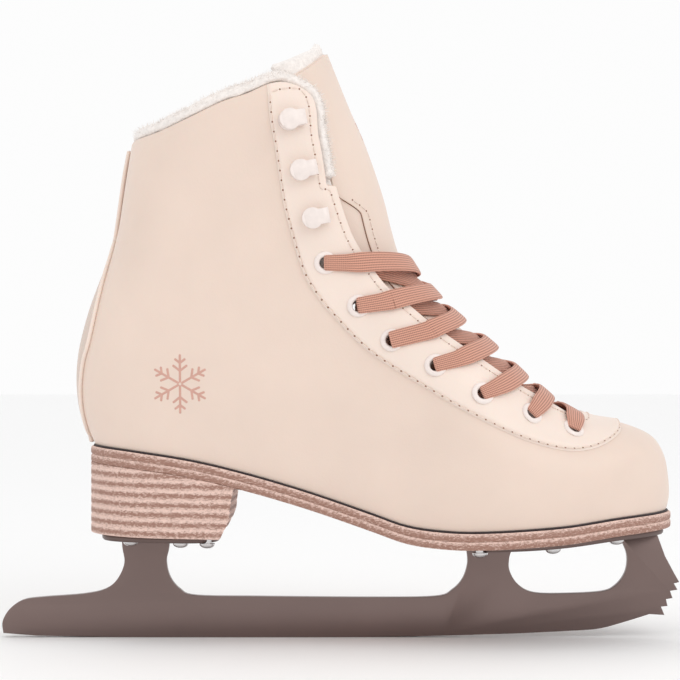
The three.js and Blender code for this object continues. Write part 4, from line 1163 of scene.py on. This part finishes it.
class SKATE_OT_sole(Piece, bpy.types.Operator):
    """Builds the two plies of the outsole, the rand coloured near-black as painted shade of the seam between sole and
    upper, and the stacked heel.
    """

    bl_idname = "skate.sole"
    bl_label = "Sole and heel"

    def build(self, s):
        stack = stacked(s)
        plies = (("sole_ply_upper", -3.35, 0.1, "midsole"), ("sole_ply_lower", -6.9, -3.4, "outsole"))
        for name, low, high, node in plies:
            grid, uv = ply(low, high, SOFT_EDGE, WELT)
            give(grid_object(name, [grid], stack, uvs=[uv]), "boot", "stacked_sole", node)
        # The rand is coloured near-black: painted shade in the seam between sole and upper.
        grid = ply(0.1, 1.0, [(0, 0.2), (0.5, 0), (1, 0.3)], 1.2)[0]
        give(grid_object("rand_shade_line", [grid], plain("rand_seam_shade", tuple(s.rand), 0.6)), "boot", "rand", "rand")
        self.heel(stack)

    def heel(self, stack):
        """One block of nine lifts with fine grooves between them, cut off by the breast."""
        breast = spline([(2, 76), (-1.3, 67.1), (-2.6, 60), (-3.2, 54.7), (-5.6, 49.1), (-7.5, 45.5)], 60)[::-1]
        groove = ((0.02, 0.3), (0.3, 0.05), (1.2, 0), (2.9, 0), (3.85, 0.05), (4.13, 0.3))  # height in a lift, inset
        levels = [(k * LIFT + height, inset) for k in range(9) for height, inset in groove]
        rows, uv = [], []
        ring0 = sole_outline(WELT, 360)
        order = np.argsort(-np.arctan2(ring0[:, 1], -(ring0[:, 0] + 10)))
        for height, inset in levels:
            ring = sole_outline(WELT - inset, 360)[order]
            ring = ring[ring[:, 0] < 30]
            front = np.interp(heel_bottom(-3) + height, breast[:, 1], breast[:, 0]) - inset
            at = along(ring[ring[:, 0] <= front + 8])
            dense = at(np.linspace(0, 1, 900))
            inside = dense[dense[:, 0] <= front]
            sides = along(inside)(np.linspace(0, 1, 150))
            a, b = sides[-1].copy(), sides[0].copy()
            across = mix(a, b, np.linspace(0, 1, 32)[1:-1, None])
            across[:, 0] -= 1.6 * (1 - np.linspace(-1, 1, 32)[1:-1] ** 2)  # the breast is hollow across
            plan = np.vstack([sides, across, sides[:1]])
            z = np.minimum(heel_bottom(plan[:, 0]) + height, sole_top(plan[:, 0]) - 6.95)
            rows.append(np.column_stack([plan, z]))
            uv.append(np.stack([np.arange(len(plan)) * 1.2, np.full(len(plan), height)], 1))
        grid, uv = np.array(rows), np.array(uv)
        centre = [np.repeat(r.mean(0)[None, None], grid.shape[1], 1) for r in (grid[0], grid[-1])]
        grid = np.concatenate([centre[0], grid, centre[1]])
        uv = np.concatenate([uv[:1], uv, uv[-1:]])
        obj = grid_object("stacked_heel", [grid], stack, uvs=[uv], sharp=50)
        give(obj, "boot", "stacked_sole", "heel_top_piece", "heel_lift_lower", "heel_lift_upper", "heel_wedge")


# ---- blade and plates ----
def plate_grid(low, high, half, narrow, under, thick):
    """A thin rounded plate that follows a surface; under gives its top's height at x."""
    a = np.linspace(0, 2 * math.pi, 121)[:-1]
    c, q = np.cos(a), np.sin(a)
    x = (low + high) / 2 + (high - low) / 2 * np.sign(c) * np.abs(c) ** 0.7
    t = (x - low) / (high - low)
    y = mix(half, half * narrow, t**3) * np.sign(q) * np.abs(q) ** 0.6
    middle_x = (low + high) / 2
    rows = []
    for share, inset in ((0, 0.5), (0.2, 0.1), (0.5, 0), (0.8, 0.1), (1, 0.5)):
        k = 1 - inset / half
        rx, ry = middle_x + (x - middle_x) * k, y * k
        rows.append(np.stack([rx, ry, under(rx) - thick * (1 - share)], 1))
    fold = (120 - np.arange(120)) % 120
    rows = [(rows[0] + rows[0][fold]) / 2, *rows, (rows[-1] + rows[-1][fold]) / 2]
    grid = np.array(rows)
    return np.concatenate([grid, grid[:, :1]], 1)


def under_plates(outline):
    """The blade's outline cut off level with the undersides of the plates."""
    x = outline[:, 0]
    over = outline[:, 1] - np.where(x > 60, sole_top(x) - 9.65, heel_bottom(x) - 2.75)
    out = []
    for k, here in enumerate(over):
        last = over[k - 1]
        if (here > 0) != (last > 0):
            out.append(mix(outline[k - 1], outline[k], last / (last - here)))
        if here <= 0:
            out.append(outline[k])
    return np.array(out)


class SKATE_OT_blade(Piece, bpy.types.Operator):
    """Builds the blade with its posts, picks and ground edge, and the two plates."""

    bl_idname = "skate.blade"
    bl_label = "Blade"

    def build(self, s):
        tail = spline([(-52.2, 52), (-52.2, 41), (-51.2, 33), (-54.5, 25.6), (-60, 21.3), (-70, 19.2), (-86.8, 17.9),
                       (-96, 16.6), (-102, 12.6), (-105.2, 7), (-104.8, 1.9)], 60)
        rocker = spline([(-90, 0.75), (-60, 0.2), (-30, 0), (30, 0), (60, 0.2), (80, 0.5), (102, 1.1), (124, 1.8),
                         (142.5, 2.7), (158, 3.7), (168.3, 6.2), (181.6, 10.3)], 60)
        picks = np.array([(188.2, 9.9), (186.7, 13.6), (189.6, 13.9), (188.9, 16.9), (191.8, 17.4), (190.7, 20.6),
                          (194, 21.1), (192.4, 23.9), (194.8, 24.5), (192.6, 28.3), (188.5, 36), (184.5, 47)])
        toe = spline([(165.5, 50), (169.5, 42.3), (171.7, 36), (170.8, 28.8), (166.5, 23), (160, 20.3), (142.5, 19.4),
                      (130, 19.9), (123.3, 23.5), (119.6, 29.5), (119.4, 35), (120.8, 40), (121.3, 46)], 70)
        mid = spline([(99.5, 46), (100.3, 40), (100.9, 33), (98.8, 26.2), (94.3, 21.2), (87, 18.2), (60, 17.7),
                      (9, 18.1), (-19.4, 18.6), (-26.6, 21.5), (-31, 27), (-32.5, 34), (-31.4, 40), (-30.5, 52)], 80)
        outline = under_plates(np.vstack([tail, rocker, picks, toe, mid]))
        half = s.blade_thickness / 2
        bm = bmesh.new()
        verts = [bm.verts.new((px * MM, -half, pz * MM)) for px, pz in outline]
        face = bm.faces.new(verts)
        moved = bmesh.ops.extrude_face_region(bm, geom=[face])["geom"]
        moved = [g for g in moved if isinstance(g, bmesh.types.BMVert)]
        bmesh.ops.translate(bm, vec=(0, 2 * half, 0), verts=moved)
        bm.faces.ensure_lookup_table()
        ends = [e for e in bm.edges if len(e.link_faces) == 2 and any(len(f.verts) > 8 for f in e.link_faces)]
        bmesh.ops.bevel(bm, geom=ends, offset=0.0003, segments=2, profile=0.5, affect="EDGES", material=-1)
        bmesh.ops.recalc_face_normals(bm, faces=bm.faces)
        metal = steel("ground_steel", tuple(s.blade), 0.34, 0.25)
        give(set_mesh("runner_blade", bm, metal, sharp=30), "boot", "blade_steel", "blade")
        dark = steel("plate_steel", shade(tuple(s.blade), 0.8), 0.4)
        sole = plate_grid(97, 187.5, 32, 0.5, lambda v: sole_top(v) - 7.0, 2.6)
        give(grid_object("plate_under_sole", [sole], dark), "boot", "plates", "sole_plate")
        heel = plate_grid(-60.5, -8.5, 24, 1, lambda v: heel_bottom(v) - 0.1, 2.6)
        give(grid_object("plate_under_heel", [heel], dark), "boot", "plates", "heel_plate")


class SKATE_OT_inside(Piece, bpy.types.Operator):
    """Gives the CAD pieces inside the boot their finishes."""

    bl_idname = "skate.inside"
    bl_label = "Inside pieces"

    def build(self, s):
        board = plain("fibre_board", linear("B99A78"), 0.9, 0, 400, 0.2)
        pile = fleece(tuple(s.fleece))
        dark = steel("plate_steel", shade(tuple(s.blade), 0.8), 0.4)
        finishes = {"insole_board": board, "heel_counter": board, "toe_puff": board, "footbed": pile, "shank": dark}
        for name, material in finishes.items():
            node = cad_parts[name]
            node.data.materials.clear()
            node.data.materials.append(material)


class SKATE_OT_motif(Piece, bpy.types.Operator):
    """Draws a plain snow crystal on the quarter and on the tongue."""

    bl_idname = "skate.motif"
    bl_label = "Snow crystals"

    def strokes(self, radius):
        """Lines of a six-armed crystal round the origin."""
        lines = []
        for k in range(6):
            a = math.radians(60 * k + 30)
            way = np.array((math.cos(a), math.sin(a)))
            lines.append((way * radius * 0.06, way * radius))
            for at, reach in ((0.45, 0.3), (0.72, 0.22)):
                for turn in (-1, 1):
                    b = a + turn * math.radians(52)
                    twig = radius * reach * np.array((math.cos(b), math.sin(b)))
                    lines.append((way * radius * at, way * radius * at + twig))
        return lines

    def build(self, s):
        ink = plain("printed_motif", linear("CFA091"), 0.5)
        grids = []
        for a, b in self.strokes(12.5):
            line = mix(a, b, np.linspace(0, 1, 14)[:, None]) + (-24, 113)
            p, n = on_skin(line[:, 0], line[:, 1], -1, 0.02)
            grids.append(tube(p, n, 0.5, 8, 0.12))
        give(grid_object("quarter_motif", grids, ink), "boot", "upper_leather")
        grids = []
        for a, b in self.strokes(7.5):
            q = mix(a, b, np.linspace(0, 1, 10)[:, None])
            p, n = across_front(15.4 + q[:, 1] / 21, q[:, 0])
            grids.append(tube(p - n * COVER_DEPTH, n, 0.38, 8, 0.15))
        flex(grid_object("tongue_motif", grids, ink), "tongue_leather")


class SKATE_OT_stage(Piece, bpy.types.Operator):
    """Sets the floor, the soft studio light and the camera."""

    bl_idname = "skate.stage"
    bl_label = "Stage"

    def build(self, s):
        bm = bmesh.new()
        bmesh.ops.create_grid(bm, x_segments=1, y_segments=1, size=4)
        floor = set_mesh("floor", bm, plain("studio_floor", (0.97, 0.97, 0.97), 0.8, 0, 3000, 0.0))
        world = bpy.context.scene.world or bpy.data.worlds.new("studio")
        bpy.context.scene.world = world
        world.use_nodes = True
        world.node_tree.nodes["Background"].inputs["Color"].default_value = (1, 1, 1, 1)
        world.node_tree.nodes["Background"].inputs["Strength"].default_value = 0.98
        for name, place, aim, power, wide in (
            ("key", (0.75, -0.9, 0.9), (0.04, 0, 0.12), 3, 0.9),
            ("fill", (-0.9, -0.9, 0.5), (0.04, 0, 0.12), 0.6, 0.9),
        ):
            light = bpy.data.lights.new(name, "AREA")
            light.energy, light.size = power, wide
            lamp = bpy.data.objects.new(name, light)
            lamp.location = place
            lamp.rotation_euler = (Vector(aim) - Vector(place)).to_track_quat("-Z", "Y").to_euler()
            bpy.context.scene.collection.objects.link(lamp)
        away, frame_width = 0.9, 0.302
        camera = bpy.data.cameras.new("camera")
        camera.sensor_width = 36
        camera.lens = 36 * away / frame_width
        view = bpy.data.objects.new("camera", camera)
        view.location = (0.0444, -away, 0.1318)
        view.rotation_euler = (math.pi / 2, 0, 0)
        bpy.context.scene.collection.objects.link(view)
        bpy.context.scene.camera = view
        bpy.context.scene.view_settings.view_transform = "Standard"


class SKATE_PT_panel(bpy.types.Panel):
    """Sidebar panel with the skate's sizes, colours and build buttons."""

    bl_idname = "SKATE_PT_panel"
    bl_label = "Figure skate"
    bl_space_type = "VIEW_3D"
    bl_region_type = "UI"
    bl_category = "Skate"

    def draw(self, context):
        settings = context.scene.skate
        for name in SkateSettings.__annotations__:
            self.layout.prop(settings, name)
        for step in STEPS:
            self.layout.operator(step.bl_idname)


STEPS = (SKATE_OT_upper, SKATE_OT_facings, SKATE_OT_backstay, SKATE_OT_lining, SKATE_OT_tongue, SKATE_OT_lace,
         SKATE_OT_eyelets, SKATE_OT_hooks, SKATE_OT_screws, SKATE_OT_sole, SKATE_OT_blade, SKATE_OT_inside,
         SKATE_OT_motif, SKATE_OT_stage)


def register():
    for item in (SkateSettings, *STEPS, SKATE_PT_panel):
        bpy.utils.register_class(item)
    bpy.types.Scene.skate = bpy.props.PointerProperty(type=SkateSettings)


def unregister():
    del bpy.types.Scene.skate
    for item in (SKATE_PT_panel, *reversed(STEPS), SkateSettings):
        bpy.utils.unregister_class(item)


def main():
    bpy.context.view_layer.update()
    register()
    for step in STEPS:
        group, name = step.bl_idname.split(".")
        getattr(getattr(bpy.ops, group), name)()


if __name__ == "__main__":
    main()
